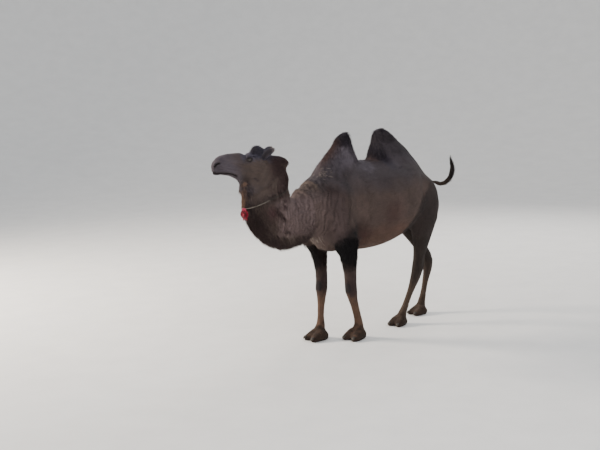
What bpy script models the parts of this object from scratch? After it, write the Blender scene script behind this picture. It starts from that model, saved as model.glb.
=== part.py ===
"""Bactrian camel, life size, standing with its head turned to its right.

Metres, +Z up. The camel faces -Y and its left side is +X. The floor is Z = 0 and
the origin lies under the middle of its bounding box. The flesh is modelled whole,
as lofts joined by a voxel remesh, and is then parted with thin cuts.

Rows and tables give places as (forward, left, up) from the point on the floor
midway between the two fore feet. On the head they are (behind, left, up) from the
nose tip, along the way the head points.
"""

import math

import bmesh
import bpy
import numpy as np
from mathutils import Matrix, Vector, bvhtree

BACK_OF_BOX_CENTRE = 0.318  # how far the box centre lies behind the fore feet
LEFT_OF_BOX_CENTRE = -0.026
HEAD_TURN = 35.0  # degrees to the camel's right
NOSE_TIP = (1.054, -0.388, 1.690)
SIDES = (("left", 1), ("right", -1))

SECTION_SIDES = 20
STEPS_BETWEEN_ROWS = 4
VOXEL = 0.013
SMOOTHING_ROUNDS = 6
BODY_TRIANGLES = 4600
CUT = 0.0004  # gap between neighbouring pieces
FLAT_ANGLE = 1.5  # degrees between faces that are merged into one
TRUE_FLAT_ANGLE = 0.1  # the same once small pieces are let in, when nothing may move
SLIVER = 0.00002  # edges this short are closed up after a cut

# The flesh, each row on a path: forward, left, up, half width, then how far the
# section reaches towards the back (or the front of a leg) and to the other side.
TRUNK = (
    (-1.355, 0.00, 1.38, 0.05, 0.05, 0.05),
    (-1.335, 0.00, 1.36, 0.12, 0.10, 0.10),
    (-1.29, 0.00, 1.32, 0.19, 0.17, 0.15),
    (-1.22, 0.00, 1.28, 0.245, 0.26, 0.17),
    (-1.12, 0.00, 1.26, 0.275, 0.335, 0.18),
    (-1.03, 0.00, 1.25, 0.30, 0.38, 0.24),
    (-0.90, 0.00, 1.25, 0.34, 0.42, 0.32),
    (-0.72, 0.00, 1.24, 0.365, 0.44, 0.39),
    (-0.50, 0.00, 1.24, 0.365, 0.44, 0.43),
    (-0.25, 0.00, 1.25, 0.335, 0.43, 0.44),
    (-0.05, 0.00, 1.25, 0.285, 0.39, 0.42),
    (0.12, 0.00, 1.26, 0.26, 0.33, 0.37),
    (0.25, 0.00, 1.26, 0.20, 0.25, 0.28),
    (0.34, 0.00, 1.27, 0.12, 0.16, 0.17),
)
NECK = (
    (0.10, 0.00, 1.33, 0.22, 0.27, 0.30),
    (0.28, 0.00, 1.27, 0.19, 0.235, 0.27),
    (0.45, 0.00, 1.215, 0.165, 0.200, 0.255),
    (0.60, -0.01, 1.23, 0.15, 0.205, 0.285),
    (0.70, -0.03, 1.34, 0.14, 0.245, 0.275),
    (0.725, -0.06, 1.48, 0.13, 0.230, 0.23),
    (0.71, -0.09, 1.62, 0.12, 0.240, 0.20),
    (0.69, -0.11, 1.73, 0.10, 0.200, 0.15),
)
NECK_TURNS = (0, 0, 0, 4, 12, 20, 28, HEAD_TURN)
TAIL = (
    (-1.30, 0.000, 1.43, 0.050, 0.055, 0.055),
    (-1.38, 0.005, 1.40, 0.034, 0.038, 0.038),
    (-1.47, 0.020, 1.35, 0.026, 0.028, 0.028),
    (-1.55, 0.035, 1.335, 0.024, 0.026, 0.026),
    (-1.63, 0.050, 1.37, 0.026, 0.028, 0.028),
    (-1.675, 0.060, 1.45, 0.027, 0.030, 0.030),
    (-1.670, 0.062, 1.53, 0.020, 0.022, 0.022),
    (-1.645, 0.060, 1.60, 0.007, 0.008, 0.008),
)
LEGS = {
    "fore_left": (
        (0.02, 0.17, 1.42, 0.10, 0.14, 0.14),
        (0.06, 0.20, 1.22, 0.11, 0.17, 0.20),
        (0.01, 0.20, 1.02, 0.10, 0.17, 0.17),
        (-0.05, 0.19, 0.87, 0.080, 0.13, 0.10),
        (-0.08, 0.165, 0.70, 0.066, 0.085, 0.075),
        (-0.10, 0.150, 0.56, 0.060, 0.068, 0.058),
        (-0.105, 0.150, 0.48, 0.062, 0.070, 0.055),
        (-0.125, 0.145, 0.40, 0.050, 0.052, 0.050),
        (-0.165, 0.140, 0.27, 0.041, 0.041, 0.046),
        (-0.195, 0.135, 0.16, 0.044, 0.044, 0.052),
        (-0.195, 0.132, 0.09, 0.055, 0.060, 0.062),
    ),
    "fore_right": (
        (0.02, -0.17, 1.42, 0.10, 0.14, 0.14),
        (0.08, -0.20, 1.22, 0.11, 0.17, 0.20),
        (0.03, -0.20, 1.02, 0.10, 0.175, 0.17),
        (-0.015, -0.19, 0.90, 0.085, 0.14, 0.11),
        (-0.015, -0.165, 0.74, 0.066, 0.090, 0.075),
        (-0.010, -0.150, 0.58, 0.060, 0.066, 0.058),
        (0.000, -0.145, 0.48, 0.062, 0.070, 0.055),
        (0.012, -0.140, 0.40, 0.050, 0.052, 0.048),
        (0.030, -0.135, 0.26, 0.038, 0.038, 0.040),
        (0.045, -0.130, 0.15, 0.044, 0.044, 0.050),
        (0.065, -0.128, 0.09, 0.055, 0.060, 0.062),
    ),
    "hind_left": (
        (-1.17, 0.15, 1.36, 0.11, 0.16, 0.17),
        (-1.11, 0.19, 1.18, 0.11, 0.18, 0.205),
        (-1.05, 0.21, 1.00, 0.105, 0.17, 0.163),
        (-1.05, 0.175, 0.82, 0.080, 0.11, 0.13),
        (-1.058, 0.140, 0.66, 0.060, 0.074, 0.078),
        (-1.055, 0.125, 0.56, 0.055, 0.072, 0.078),
        (-1.030, 0.112, 0.46, 0.048, 0.058, 0.064),
        (-0.980, 0.100, 0.34, 0.038, 0.044, 0.046),
        (-0.910, 0.090, 0.20, 0.036, 0.038, 0.040),
        (-0.860, 0.082, 0.11, 0.044, 0.046, 0.050),
        (-0.840, 0.078, 0.07, 0.050, 0.055, 0.055),
    ),
    "hind_right": (
        (-1.18, -0.15, 1.36, 0.11, 0.16, 0.17),
        (-1.18, -0.20, 1.18, 0.12, 0.18, 0.15),
        (-1.24, -0.20, 1.00, 0.105, 0.16, 0.14),
        (-1.33, -0.165, 0.82, 0.078, 0.115, 0.11),
        (-1.42, -0.135, 0.66, 0.058, 0.076, 0.075),
        (-1.475, -0.120, 0.55, 0.052, 0.066, 0.072),
        (-1.470, -0.115, 0.45, 0.047, 0.056, 0.060),
        (-1.430, -0.105, 0.34, 0.038, 0.044, 0.044),
        (-1.375, -0.095, 0.20, 0.036, 0.038, 0.040),
        (-1.330, -0.085, 0.11, 0.044, 0.046, 0.050),
        (-1.310, -0.080, 0.07, 0.050, 0.055, 0.055),
    ),
}
# Humps, in level sections: forward, left, up, half width, reach forward, reach back.
HUMPS = {
    "front": (
        (-0.10, 0.00, 1.45, 0.24, 0.34, 0.34),
        (-0.13, 0.00, 1.60, 0.19, 0.31, 0.26),
        (-0.15, 0.01, 1.72, 0.130, 0.22, 0.17),
        (-0.17, 0.02, 1.82, 0.098, 0.16, 0.115),
        (-0.18, 0.03, 1.90, 0.075, 0.115, 0.08),
        (-0.18, 0.04, 1.95, 0.050, 0.065, 0.05),
        (-0.18, 0.042, 1.972, 0.020, 0.03, 0.025),
    ),
    "rear": (
        (-0.82, 0.00, 1.45, 0.27, 0.34, 0.46),
        (-0.80, 0.00, 1.60, 0.21, 0.27, 0.38),
        (-0.78, -0.01, 1.72, 0.155, 0.22, 0.29),
        (-0.75, -0.02, 1.82, 0.12, 0.16, 0.22),
        (-0.73, -0.03, 1.90, 0.09, 0.11, 0.14),
        (-0.72, -0.035, 1.95, 0.055, 0.07, 0.08),
        (-0.72, -0.035, 1.97, 0.02, 0.03, 0.03),
    ),
}
# The head: behind the nose tip, middle height, half width, above, below.
SKULL = (
    (0.005, 0.000, 0.022, 0.020, 0.020),
    (0.030, 0.010, 0.050, 0.055, 0.052),
    (0.070, 0.020, 0.064, 0.088, 0.074),
    (0.110, 0.025, 0.067, 0.102, 0.084),
    (0.180, 0.025, 0.066, 0.112, 0.095),
    (0.240, 0.015, 0.070, 0.124, 0.110),
    (0.285, 0.000, 0.082, 0.098, 0.125),
    (0.330, 0.000, 0.104, 0.116, 0.140),
    (0.385, 0.010, 0.112, 0.138, 0.140),
    (0.450, 0.010, 0.106, 0.135, 0.140),
    (0.520, 0.010, 0.100, 0.125, 0.140),
    (0.585, 0.000, 0.092, 0.112, 0.130),
    (0.640, -0.01, 0.078, 0.095, 0.110),
    (0.672, -0.03, 0.045, 0.055, 0.070),
)
JAW = (
    (0.10, -0.030, 0.040, 0.03, 0.030),
    (0.18, -0.045, 0.050, 0.04, 0.030),
    (0.25, -0.075, 0.058, 0.05, 0.045),
    (0.31, -0.110, 0.070, 0.08, 0.060),
    (0.38, -0.120, 0.078, 0.08, 0.080),
    (0.45, -0.120, 0.080, 0.08, 0.080),
)
FORELOCK = (
    (0.375, 0.12, 0.040, 0.020, 0.03),
    (0.400, 0.155, 0.050, 0.040, 0.05),
    (0.430, 0.160, 0.055, 0.048, 0.05),
    (0.480, 0.13, 0.050, 0.045, 0.04),
    (0.520, 0.10, 0.040, 0.030, 0.03),
)
# Eggs of muscle, one each side of the body: forward on the left side and on the
# right, out from the middle plane, up, then half length, half width, half height.
BODY_LUMPS = (
    (0.00, 0.00, 0.215, 1.27, 0.15, 0.085, 0.25),  # shoulder blade
    (-0.10, -0.08, 0.205, 0.98, 0.08, 0.060, 0.09),  # point of the elbow
    (0.02, 0.02, 0.04, 0.90, 0.13, 0.080, 0.06),  # chest pad
    (-1.16, -1.16, 0.185, 1.34, 0.14, 0.085, 0.12),  # hip
    (-1.265, -1.265, 0.105, 1.27, 0.060, 0.060, 0.10),  # seat bone
    (-0.99, -1.13, 0.215, 1.02, 0.08, 0.070, 0.12),  # stifle
)
# The same on the head: behind the nose tip, out, up, then the half sizes.
HEAD_LUMPS = (
    (0.350, 0.084, 0.108, 0.045, 0.026, 0.022),  # brow
    (0.430, 0.075, -0.040, 0.085, 0.040, 0.090),  # cheek
    (0.050, 0.028, -0.020, 0.050, 0.030, 0.036),  # upper lip
    (0.062, 0.034, 0.040, 0.040, 0.024, 0.034),  # nostril
)

FEET = {
    # forward, left, scale, degrees the toes turn to the right
    "fore_left": (-0.150, 0.130, 1.0, -6),
    "fore_right": (0.105, -0.128, 1.0, 6),
    "hind_left": (-0.800, 0.078, 0.88, -8),
    "hind_right": (-1.265, -0.078, 0.88, 8),
}
TOE_SPREAD = 9  # degrees between a toe and the middle of the foot
TOE_SIDE = 0.042  # from the foot's middle line to a toe's
TOE = (
    # forward of the foot's middle, up, half width, above, below
    (-0.100, 0.030, 0.030, 0.020, 0.04),
    (-0.075, 0.035, 0.046, 0.045, 0.05),
    (-0.030, 0.045, 0.052, 0.065, 0.06),
    (0.020, 0.040, 0.050, 0.050, 0.06),
    (0.065, 0.030, 0.044, 0.032, 0.05),
    (0.098, 0.022, 0.030, 0.022, 0.04),
    (0.112, 0.018, 0.012, 0.012, 0.03),
)
NAIL = (
    # forward of the foot's middle, up, half width, above, below
    (0.083, 0.040, 0.014, 0.006, 0.010),
    (0.095, 0.039, 0.017, 0.009, 0.012),
    (0.109, 0.031, 0.014, 0.008, 0.012),
    (0.117, 0.023, 0.007, 0.004, 0.006),
)
NAIL_SIDES = 8

EYE_BEHIND = 0.345
EYE_UP = 0.076
EYE_RADIUS = 0.023
EYE_PROUD = 0.007  # how far the eyeball stands out of the face
EAR = (
    # behind the nose tip, out, up, half width, reach to the back, reach to the face
    (0.452, 0.060, 0.060, 0.020, 0.020, 0.020),
    (0.470, 0.082, 0.092, 0.023, 0.018, 0.020),
    (0.492, 0.099, 0.118, 0.029, 0.015, 0.020),
    (0.518, 0.112, 0.139, 0.028, 0.012, 0.017),
    (0.542, 0.120, 0.153, 0.018, 0.009, 0.012),
    (0.557, 0.123, 0.160, 0.007, 0.005, 0.006),
)
EAR_SIDES = 12
EAR_CUP = 0.9  # depth of the hollow, as a share of the reach to the face
EAR_ROOT_ROWS = 3  # the hollow deepens over this many rows from the root

CORD_CENTRE = (0.735, -0.055, 1.425)
CORD_RISE = 0.36  # how fast the cord climbs towards the nape
CORD_RADIUS = 0.0035
CORD_CLEARANCE = 0.004
CORD_POINTS = 40
CORD_SIDES = 6
ROSETTE_HALF_SIZE = (0.044, 0.034, 0.065)
ROSETTE_TURN = -15  # degrees
ROSETTE_DROP = 0.049  # below the cord
ROSETTE_FORWARD = 0.022

# Where the flesh is parted.
OUTSIDE = 0.9  # further out than any flesh
FLOOR = ((-2.0, -0.2), (1.6, -0.2), (1.6, 0.0), (-2.0, 0.0))
FORE_ANKLE = 0.105
HIND_ANKLE = 0.092
FORE_KNEE = 0.44
HOCK = 0.50
HIND_FEET_PART = -1.03  # the hind feet stand either side of this place
HIND_SHANKS_PART = -1.20
FORE_SPAN = (-0.45, 0.40)
HIND_SPAN = (-1.70, -0.50)
FORE_ARMPIT = ((0.02, 0.3), (0.02, 0.82), (0.40, 1.14), (0.60, 0.3))  # out, up
FORE_LEG_DEPTH = (-0.25, 0.31)
HIND_GROIN = ((0.015, 0.3), (0.015, 0.98), (0.40, 1.26), (0.60, 0.3))
HIND_LEG_DEPTH = (-1.70, -0.86)

COLOURS = {
    # how a node's name starts: colour, roughness
    "eye": ((0.02, 0.012, 0.008, 1.0), 0.1),
    "nail": ((0.06, 0.05, 0.045, 1.0), 0.5),
    "hump": ((0.07, 0.05, 0.045, 1.0), 0.95),
    "tail": ((0.06, 0.045, 0.04, 1.0), 0.95),
    "collar_cord": ((0.55, 0.5, 0.42, 1.0), 0.8),
    "collar_rosette": ((0.5, 0.03, 0.05, 1.0), 0.7),
    "": ((0.20, 0.145, 0.11, 1.0), 0.9),  # the coat
}


def place(forward, left, up):
    """The world point of (forward, left, up)."""
    return Vector((left - LEFT_OF_BOX_CENTRE, -forward - BACK_OF_BOX_CENTRE, up))


def head_point(behind, left, up):
    """(forward, left, up) of a point given on the head."""
    yaw = math.radians(HEAD_TURN)
    forward = NOSE_TIP[0] - behind * math.cos(yaw) + left * math.sin(yaw)
    side = NOSE_TIP[1] + behind * math.sin(yaw) + left * math.cos(yaw)
    return forward, side, NOSE_TIP[2] + up


def finished(name, bm):
    """A new object in the scene from a bmesh, which is freed."""
    mesh = bpy.data.meshes.new(name)
    bm.to_mesh(mesh)
    bm.free()
    obj = bpy.data.objects.new(name, mesh)
    bpy.context.scene.collection.objects.link(obj)
    return obj


def as_bmesh(obj):
    bm = bmesh.new()
    bm.from_mesh(obj.data)
    return bm


def smooth_rows(rows, steps=STEPS_BETWEEN_ROWS):
    """Rows of numbers with more between each two, on a Catmull-Rom curve."""
    rows = np.array(rows, float)
    ends = np.vstack([2 * rows[0] - rows[1], rows, 2 * rows[-1] - rows[-2]])
    share = np.linspace(0, 1, steps, endpoint=False)[:, None]
    runs = []
    for a, b, c, d in zip(ends, ends[1:], ends[2:], ends[3:]):
        bend = 2 * a - 5 * b + 4 * c - d
        twist = 3 * b - a - 3 * c + d
        runs.append(b + 0.5 * share * (c - a + share * (bend + share * twist)))
    return np.vstack([*runs, rows[-1:]])


def egg(centre, across, up, half_width, above, below, sides=SECTION_SIDES, squareness=1.0):
    """An egg-shaped loop: `half_width` to each side, `above` and `below` its centre."""
    points = []
    for i in range(sides):
        angle = 2 * math.pi * i / sides
        c = math.copysign(abs(math.cos(angle)) ** squareness, math.cos(angle))
        s = math.copysign(abs(math.sin(angle)) ** squareness, math.sin(angle))
        reach = above if s > 0 else below
        points.append(centre + across * (half_width * c) + up * (reach * s))
    return points


def skin_loops(name, loops):
    """A closed skin over a row of loops, each end closed by a fan to its middle."""
    bm = bmesh.new()
    rings = [[bm.verts.new(p) for p in loop] for loop in loops]
    for one, two in zip(rings, rings[1:]):
        for i in range(len(one)):
            j = (i + 1) % len(one)
            bm.faces.new((one[i], one[j], two[j], two[i]))
    for ring in (rings[0], rings[-1]):
        tip = bm.verts.new(sum((v.co for v in ring), Vector()) / len(ring))
        for i in range(len(ring)):
            bm.faces.new((ring[i], ring[(i + 1) % len(ring)], tip))
    bmesh.ops.recalc_face_normals(bm, faces=bm.faces)
    bmesh.ops.triangulate(bm, faces=bm.faces)
    return finished(name, bm)


def tube(name, rows, turn=0.0, sides=SECTION_SIDES, squareness=0.95, steps=STEPS_BETWEEN_ROWS):
    """A loft along a path, square to it. `turn` is how far the sections face to the
    camel's right: one value, or one for each row."""
    turns = np.broadcast_to(np.array(turn, float), (len(rows),))
    table = smooth_rows(np.column_stack([np.array(rows, float), turns]), steps)
    centres = [place(*row[:3]) for row in table]
    last = len(table) - 1
    loops = []
    for i, row in enumerate(table):
        tangent = (centres[min(i + 1, last)] - centres[max(i - 1, 0)]).normalized()
        yaw = math.radians(row[6])
        top = tangent.cross(Vector((math.cos(yaw), -math.sin(yaw), 0))).normalized()
        across = top.cross(tangent)
        loops.append(egg(centres[i], across, top, *row[3:6], sides, squareness))
    return skin_loops(name, loops)


def hump(rows):
    """A loft of level sections."""
    right, ahead = Vector((1, 0, 0)), Vector((0, -1, 0))
    loops = [egg(place(*row[:3]), right, ahead, *row[3:]) for row in smooth_rows(rows)]
    return skin_loops("hump", loops)


def head_tube(name, rows, squareness=0.95):
    """A loft along the head. Its path runs backwards, so that its top side points down."""
    turned = [(*head_point(behind, 0.0, middle), w, below, above)
              for behind, middle, w, above, below in rows]
    return tube(name, turned, HEAD_TURN, squareness=squareness)


def lump(centre, half_length, half_width, half_height, turn=0.0):
    """An egg of flesh, its length along the body or the head."""
    bm = bmesh.new()
    bmesh.ops.create_icosphere(bm, subdivisions=3, radius=1.0)
    turned = Matrix.Translation(centre) @ Matrix.Rotation(math.radians(-turn), 4, "Z")
    shape = Matrix.Diagonal((half_width, half_length, half_height, 1))
    bmesh.ops.transform(bm, verts=bm.verts, matrix=turned @ shape)
    return finished("lump", bm)


def lumps():
    made = []
    for _, side in SIDES:
        for left_forward, right_forward, out, up, *size in BODY_LUMPS:
            forward = left_forward if side > 0 else right_forward
            made.append(lump(place(forward, side * out, up), *size))
        for behind, out, up, *size in HEAD_LUMPS:
            centre = place(*head_point(behind, side * out, up))
            made.append(lump(centre, *size, turn=HEAD_TURN))
    return made


def on_toe(foot, side, rows):
    """A toe's or a nail's rows put on their foot, and the way the toe points."""
    forward, left, scale, turn = FEET[foot]
    yaw = math.radians(turn - side * TOE_SPREAD)
    out = side * TOE_SIDE * scale
    placed = []
    for ahead, *sizes in rows:
        along = ahead * scale
        x = forward + along * math.cos(yaw) + out * math.sin(yaw)
        y = left - along * math.sin(yaw) + out * math.cos(yaw)
        placed.append((x, y, *[size * scale for size in sizes]))
    return placed, math.degrees(yaw)


def flesh_pieces():
    made = [tube("trunk", TRUNK, squareness=0.92), tube("neck", NECK, NECK_TURNS), tube("tail", TAIL)]
    made += [hump(rows) for rows in HUMPS.values()]
    made += [tube(name, rows) for name, rows in LEGS.items()]
    made += [head_tube("skull", SKULL, 0.82), head_tube("jaw", JAW), head_tube("forelock", FORELOCK)]
    for foot in FEET:
        for side in (1, -1):
            rows, yaw = on_toe(foot, side, TOE)
            made.append(tube("toe", rows, yaw))
    return made + lumps()


def evaluated(obj):
    """Applies an object's modifiers to its mesh."""
    depsgraph = bpy.context.evaluated_depsgraph_get()
    mesh = bpy.data.meshes.new_from_object(obj.evaluated_get(depsgraph), depsgraph=depsgraph)
    obj.modifiers.clear()
    obj.data = mesh
    return obj


def whole_flesh():
    """All the flesh as one closed skin of about BODY_TRIANGLES triangles."""
    bm = bmesh.new()
    for piece in flesh_pieces():
        bm.from_mesh(piece.data)
        bpy.data.objects.remove(piece)
    body = finished("trunk", bm)
    remesh = body.modifiers.new("one_skin", "REMESH")
    remesh.mode = "VOXEL"
    remesh.voxel_size = VOXEL
    soften = body.modifiers.new("soften", "SMOOTH")
    soften.factor = 0.5
    soften.iterations = SMOOTHING_ROUNDS
    evaluated(body)
    thin = body.modifiers.new("thin", "DECIMATE")
    thin.ratio = BODY_TRIANGLES / (2 * len(body.data.polygons))
    thin.use_collapse_triangulate = True
    return evaluated(body)


def side_view(forward, up, left):
    """A cutter's outline drawn from the side, and its depth across the body."""
    return place(forward, left, up)


def front_view(left, up, forward):
    """A cutter's outline drawn from the front, and its depth along the body."""
    return place(forward, left, up)


def head_view(behind, up, left):
    """A cutter's outline drawn in the head's own side view."""
    return place(*head_point(behind, left, up))


def prism(outline, view, near, far):
    """A convex cutter: an outline carried from one depth to another."""
    bm = bmesh.new()
    for depth in (near, far):
        for u, v in outline:
            bm.verts.new(view(u, v, depth))
    bmesh.ops.convex_hull(bm, input=bm.verts[:])
    bmesh.ops.recalc_face_normals(bm, faces=bm.faces)
    return cutter(bm)


def block(span, low, high, near, far):
    """A cutter square to the body: a span along it, two heights and two depths across."""
    outline = [(span[0], low), (span[1], low), (span[1], high), (span[0], high)]
    return prism(outline, side_view, near, far)


def cutter(bm):
    obj = finished("cutter", bm)
    obj.hide_render = True
    obj.display_type = "WIRE"
    return obj


def grown(obj, amount):
    """A copy of a solid with every face moved out by `amount`."""
    bm = as_bmesh(obj)
    bm.normal_update()
    moves = [v.normal * min(v.calc_shell_factor(), 2.0) * amount for v in bm.verts]
    for v, move in zip(bm.verts, moves):
        v.co += move
    return cutter(bm)


def boolean(obj, tool, operation, solver="EXACT"):
    cut = obj.modifiers.new("cut", "BOOLEAN")
    cut.operation = operation
    cut.solver = solver
    cut.object = tool
    evaluated(obj)
    bm = as_bmesh(obj)
    bmesh.ops.triangulate(bm, faces=bm.faces)
    bmesh.ops.dissolve_degenerate(bm, dist=SLIVER, edges=bm.edges)
    bmesh.ops.triangulate(bm, faces=bm.faces)
    bm.to_mesh(obj.data)
    bm.free()


def carve(obj, solid, solver="EXACT"):
    """Makes room in `obj` for `solid`, with a gap all round."""
    room = grown(solid, CUT)
    boolean(obj, room, "DIFFERENCE", solver)
    bpy.data.objects.remove(room)


def split_off(body, name, region):
    """Takes the flesh inside `region` off the body, as a node of its own."""
    piece = bpy.data.objects.new(name, body.data.copy())
    bpy.context.scene.collection.objects.link(piece)
    boolean(piece, region, "INTERSECT")
    carve(body, region)
    bpy.data.objects.remove(region)
    return piece


def cut_soles(body):
    ground = prism(FLOOR, side_view, -OUTSIDE, OUTSIDE)
    boolean(body, ground, "DIFFERENCE")
    bpy.data.objects.remove(ground)


def split_feet(body):
    nodes = {}
    for name, side in SIDES:
        depths = sorted((0.0, side * OUTSIDE))
        nodes["fore_" + name] = split_off(
            body, "foot_fore_" + name, block(FORE_SPAN, -0.1, FORE_ANKLE, *depths))
    spans = (("left", (HIND_FEET_PART, HIND_SPAN[1])), ("right", (HIND_SPAN[0], HIND_FEET_PART)))
    for name, span in spans:
        nodes["hind_" + name] = split_off(
            body, "foot_hind_" + name, block(span, -0.1, HIND_ANKLE, -OUTSIDE, OUTSIDE))
    return nodes


def split_legs(body):
    """Each leg in two lengths: the shank, and the leg above it up to the trunk."""
    for name, side in SIDES:
        depths = sorted((0.0, side * OUTSIDE))
        split_off(body, "shank_fore_" + name, block(FORE_SPAN, 0.0, FORE_KNEE, *depths))
        outline = [(side * out, up) for out, up in FORE_ARMPIT]
        split_off(body, "leg_fore_" + name, prism(outline, front_view, *FORE_LEG_DEPTH))
    spans = (("left", (HIND_SHANKS_PART, HIND_SPAN[1])), ("right", (HIND_SPAN[0], HIND_SHANKS_PART)))
    for name, span in spans:
        split_off(body, "shank_hind_" + name, block(span, 0.0, HOCK, -OUTSIDE, OUTSIDE))
    for name, side in SIDES:
        outline = [(side * out, up) for out, up in HIND_GROIN]
        split_off(body, "leg_hind_" + name, prism(outline, front_view, *HIND_LEG_DEPTH))


TOP_CUTS = (
    # node, view its outline is drawn in, depths, outline; cut in this order
    ("head", head_view, -0.4, 0.4,
     [(0.72, 0.00), (0.40, -0.20), (-0.15, -0.20), (-0.15, 0.15), (0.20, 0.45), (0.72, 0.40)]),
    ("neck_upper", side_view, -0.6, 0.5,
     [(0.40, 1.50), (0.98, 0.94), (1.50, 1.20), (1.20, 2.00), (0.50, 2.00), (0.35, 1.70)]),
    ("neck_lower", side_view, -0.5, 0.5,
     [(0.32, 0.80), (1.20, 0.80), (1.20, 1.60), (0.32, 1.60)]),
    ("hump_front", side_view, -0.4, 0.4,
     [(-0.50, 1.67), (0.25, 1.60), (0.25, 2.10), (-0.50, 2.10)]),
    ("hump_rear", side_view, -0.4, 0.4,
     [(-0.50, 1.67), (-0.50, 2.10), (-1.30, 2.10), (-1.30, 1.56)]),
    ("tail", side_view, -0.3, 0.4,
     [(-1.40, 1.52), (-1.42, 1.28), (-1.60, 1.20), (-1.90, 1.25), (-1.90, 1.80), (-1.50, 1.80)]),
)


def split_top(body):
    nodes = {}
    for name, view, near, far, outline in TOP_CUTS:
        nodes[name] = split_off(body, name, prism(outline, view, near, far))
    return nodes


def eyeball(name, side, flesh):
    """An eyeball set in the side of the face, found by looking out from inside."""
    inside = place(*head_point(EYE_BEHIND, 0.0, EYE_UP))
    outward = (place(*head_point(EYE_BEHIND, side, EYE_UP)) - inside).normalized()
    surface = flesh.ray_cast(inside, outward)[0]
    centre = Matrix.Translation(surface - outward * (EYE_RADIUS - EYE_PROUD))
    bm = bmesh.new()
    bmesh.ops.create_icosphere(bm, subdivisions=2, radius=EYE_RADIUS, matrix=centre)
    return finished(name, bm)


def ear(name, side):
    """A leaf-shaped ear, hollowed on the face that looks forward and out."""
    yaw = math.radians(HEAD_TURN)
    ahead = Vector((-math.sin(yaw), -math.cos(yaw), 0))
    outward = Vector((math.cos(yaw), -math.sin(yaw), 0)) * side
    looks = ahead * 0.6 + outward * 0.8
    centres = [place(*head_point(row[0], side * row[1], row[2])) for row in EAR]
    last = len(EAR) - 1
    loops = []
    for i, row in enumerate(EAR):
        tangent = (centres[min(i + 1, last)] - centres[max(i - 1, 0)]).normalized()
        face = (looks - tangent * looks.dot(tangent)).normalized()
        across = face.cross(tangent)
        cup = EAR_CUP * min(1.0, i / EAR_ROOT_ROWS)
        loop = []
        for k in range(EAR_SIDES):
            angle = 2 * math.pi * k / EAR_SIDES
            c, s = math.cos(angle), math.sin(angle)
            depth = row[4] * s
            if s > 0:
                depth = row[5] * s * (1 - cup * (1 - abs(c)))
            loop.append(centres[i] + across * (row[3] * c) + face * depth)
        loops.append(loop)
    return skin_loops(name, loops)


def nail(name, foot, side):
    rows, yaw = on_toe(foot, side, NAIL)
    return tube(name, rows, yaw, NAIL_SIDES, 0.8, 1)


def collar_path(flesh):
    """Points round the neck in the cord's tilted plane, found on the flesh from inside
    and then held just clear of it."""
    centre = place(*CORD_CENTRE)
    rays = []
    for i in range(CORD_POINTS):
        angle = 2 * math.pi * i / CORD_POINTS
        c, s = math.cos(angle), math.sin(angle)
        rays.append(Vector((c, -s, -CORD_RISE * s)).normalized())
    reach = np.array([(flesh.ray_cast(centre, ray)[0] - centre).length for ray in rays])
    # The widest of three neighbours, evened out, clears every corner of the flesh.
    reach = np.maximum(reach, np.maximum(np.roll(reach, 1), np.roll(reach, -1)))
    reach = (np.roll(reach, 1) + 2 * reach + np.roll(reach, -1)) / 4
    return [centre + ray * (far + CORD_RADIUS + CORD_CLEARANCE) for ray, far in zip(rays, reach)]


def collar_cord(path):
    """A closed ring of round cord along a path."""
    bm = bmesh.new()
    rings = []
    for i, point in enumerate(path):
        tangent = (path[(i + 1) % len(path)] - path[i - 1]).normalized()
        out = tangent.cross(Vector((0, 0, 1))).normalized()
        loop = egg(point, out, out.cross(tangent), *[CORD_RADIUS] * 3, CORD_SIDES)
        rings.append([bm.verts.new(p) for p in loop])
    for ring, following in zip(rings, rings[1:] + rings[:1]):
        for k in range(CORD_SIDES):
            j = (k + 1) % CORD_SIDES
            bm.faces.new((ring[k], ring[j], following[j], following[k]))
    bmesh.ops.recalc_face_normals(bm, faces=bm.faces)
    bmesh.ops.triangulate(bm, faces=bm.faces)
    return finished("collar_cord", bm)


def rosette(front):
    """The knot of ribbon that hangs from the front of the cord at the throat."""
    centre = Matrix.Translation(front + Vector((0, -ROSETTE_FORWARD, -ROSETTE_DROP)))
    turned = centre @ Matrix.Rotation(math.radians(ROSETTE_TURN), 4, "Z")
    bm = bmesh.new()
    bmesh.ops.create_icosphere(bm, subdivisions=2, radius=1.0)
    bmesh.ops.transform(bm, verts=bm.verts, matrix=turned @ Matrix.Diagonal((*ROSETTE_HALF_SIZE, 1)))
    return finished("collar_rosette", bm)


def merge_flat_faces(obj, degrees):
    """Merges faces that lie in nearly one plane, such as the slivers left on a cut."""
    bm = as_bmesh(obj)
    bmesh.ops.dissolve_limit(bm, angle_limit=math.radians(degrees), verts=bm.verts, edges=bm.edges)
    bmesh.ops.triangulate(bm, faces=bm.faces)
    bm.to_mesh(obj.data)
    bm.free()


def dress(obj):
    """Gives an object its own material, and shades its round faces smooth."""
    start = next(key for key in COLOURS if obj.name.startswith(key))
    colour, roughness = COLOURS[start]
    made = bpy.data.materials.new(obj.name)
    made.use_nodes = True
    shader = made.node_tree.nodes["Principled BSDF"]
    shader.inputs["Base Color"].default_value = colour
    shader.inputs["Roughness"].default_value = roughness
    shader.inputs["Metallic"].default_value = 0.0
    obj.data.materials.clear()
    obj.data.materials.append(made)
    obj.data.shade_smooth()
    obj.data.set_sharp_from_angle(angle=math.radians(50))


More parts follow.
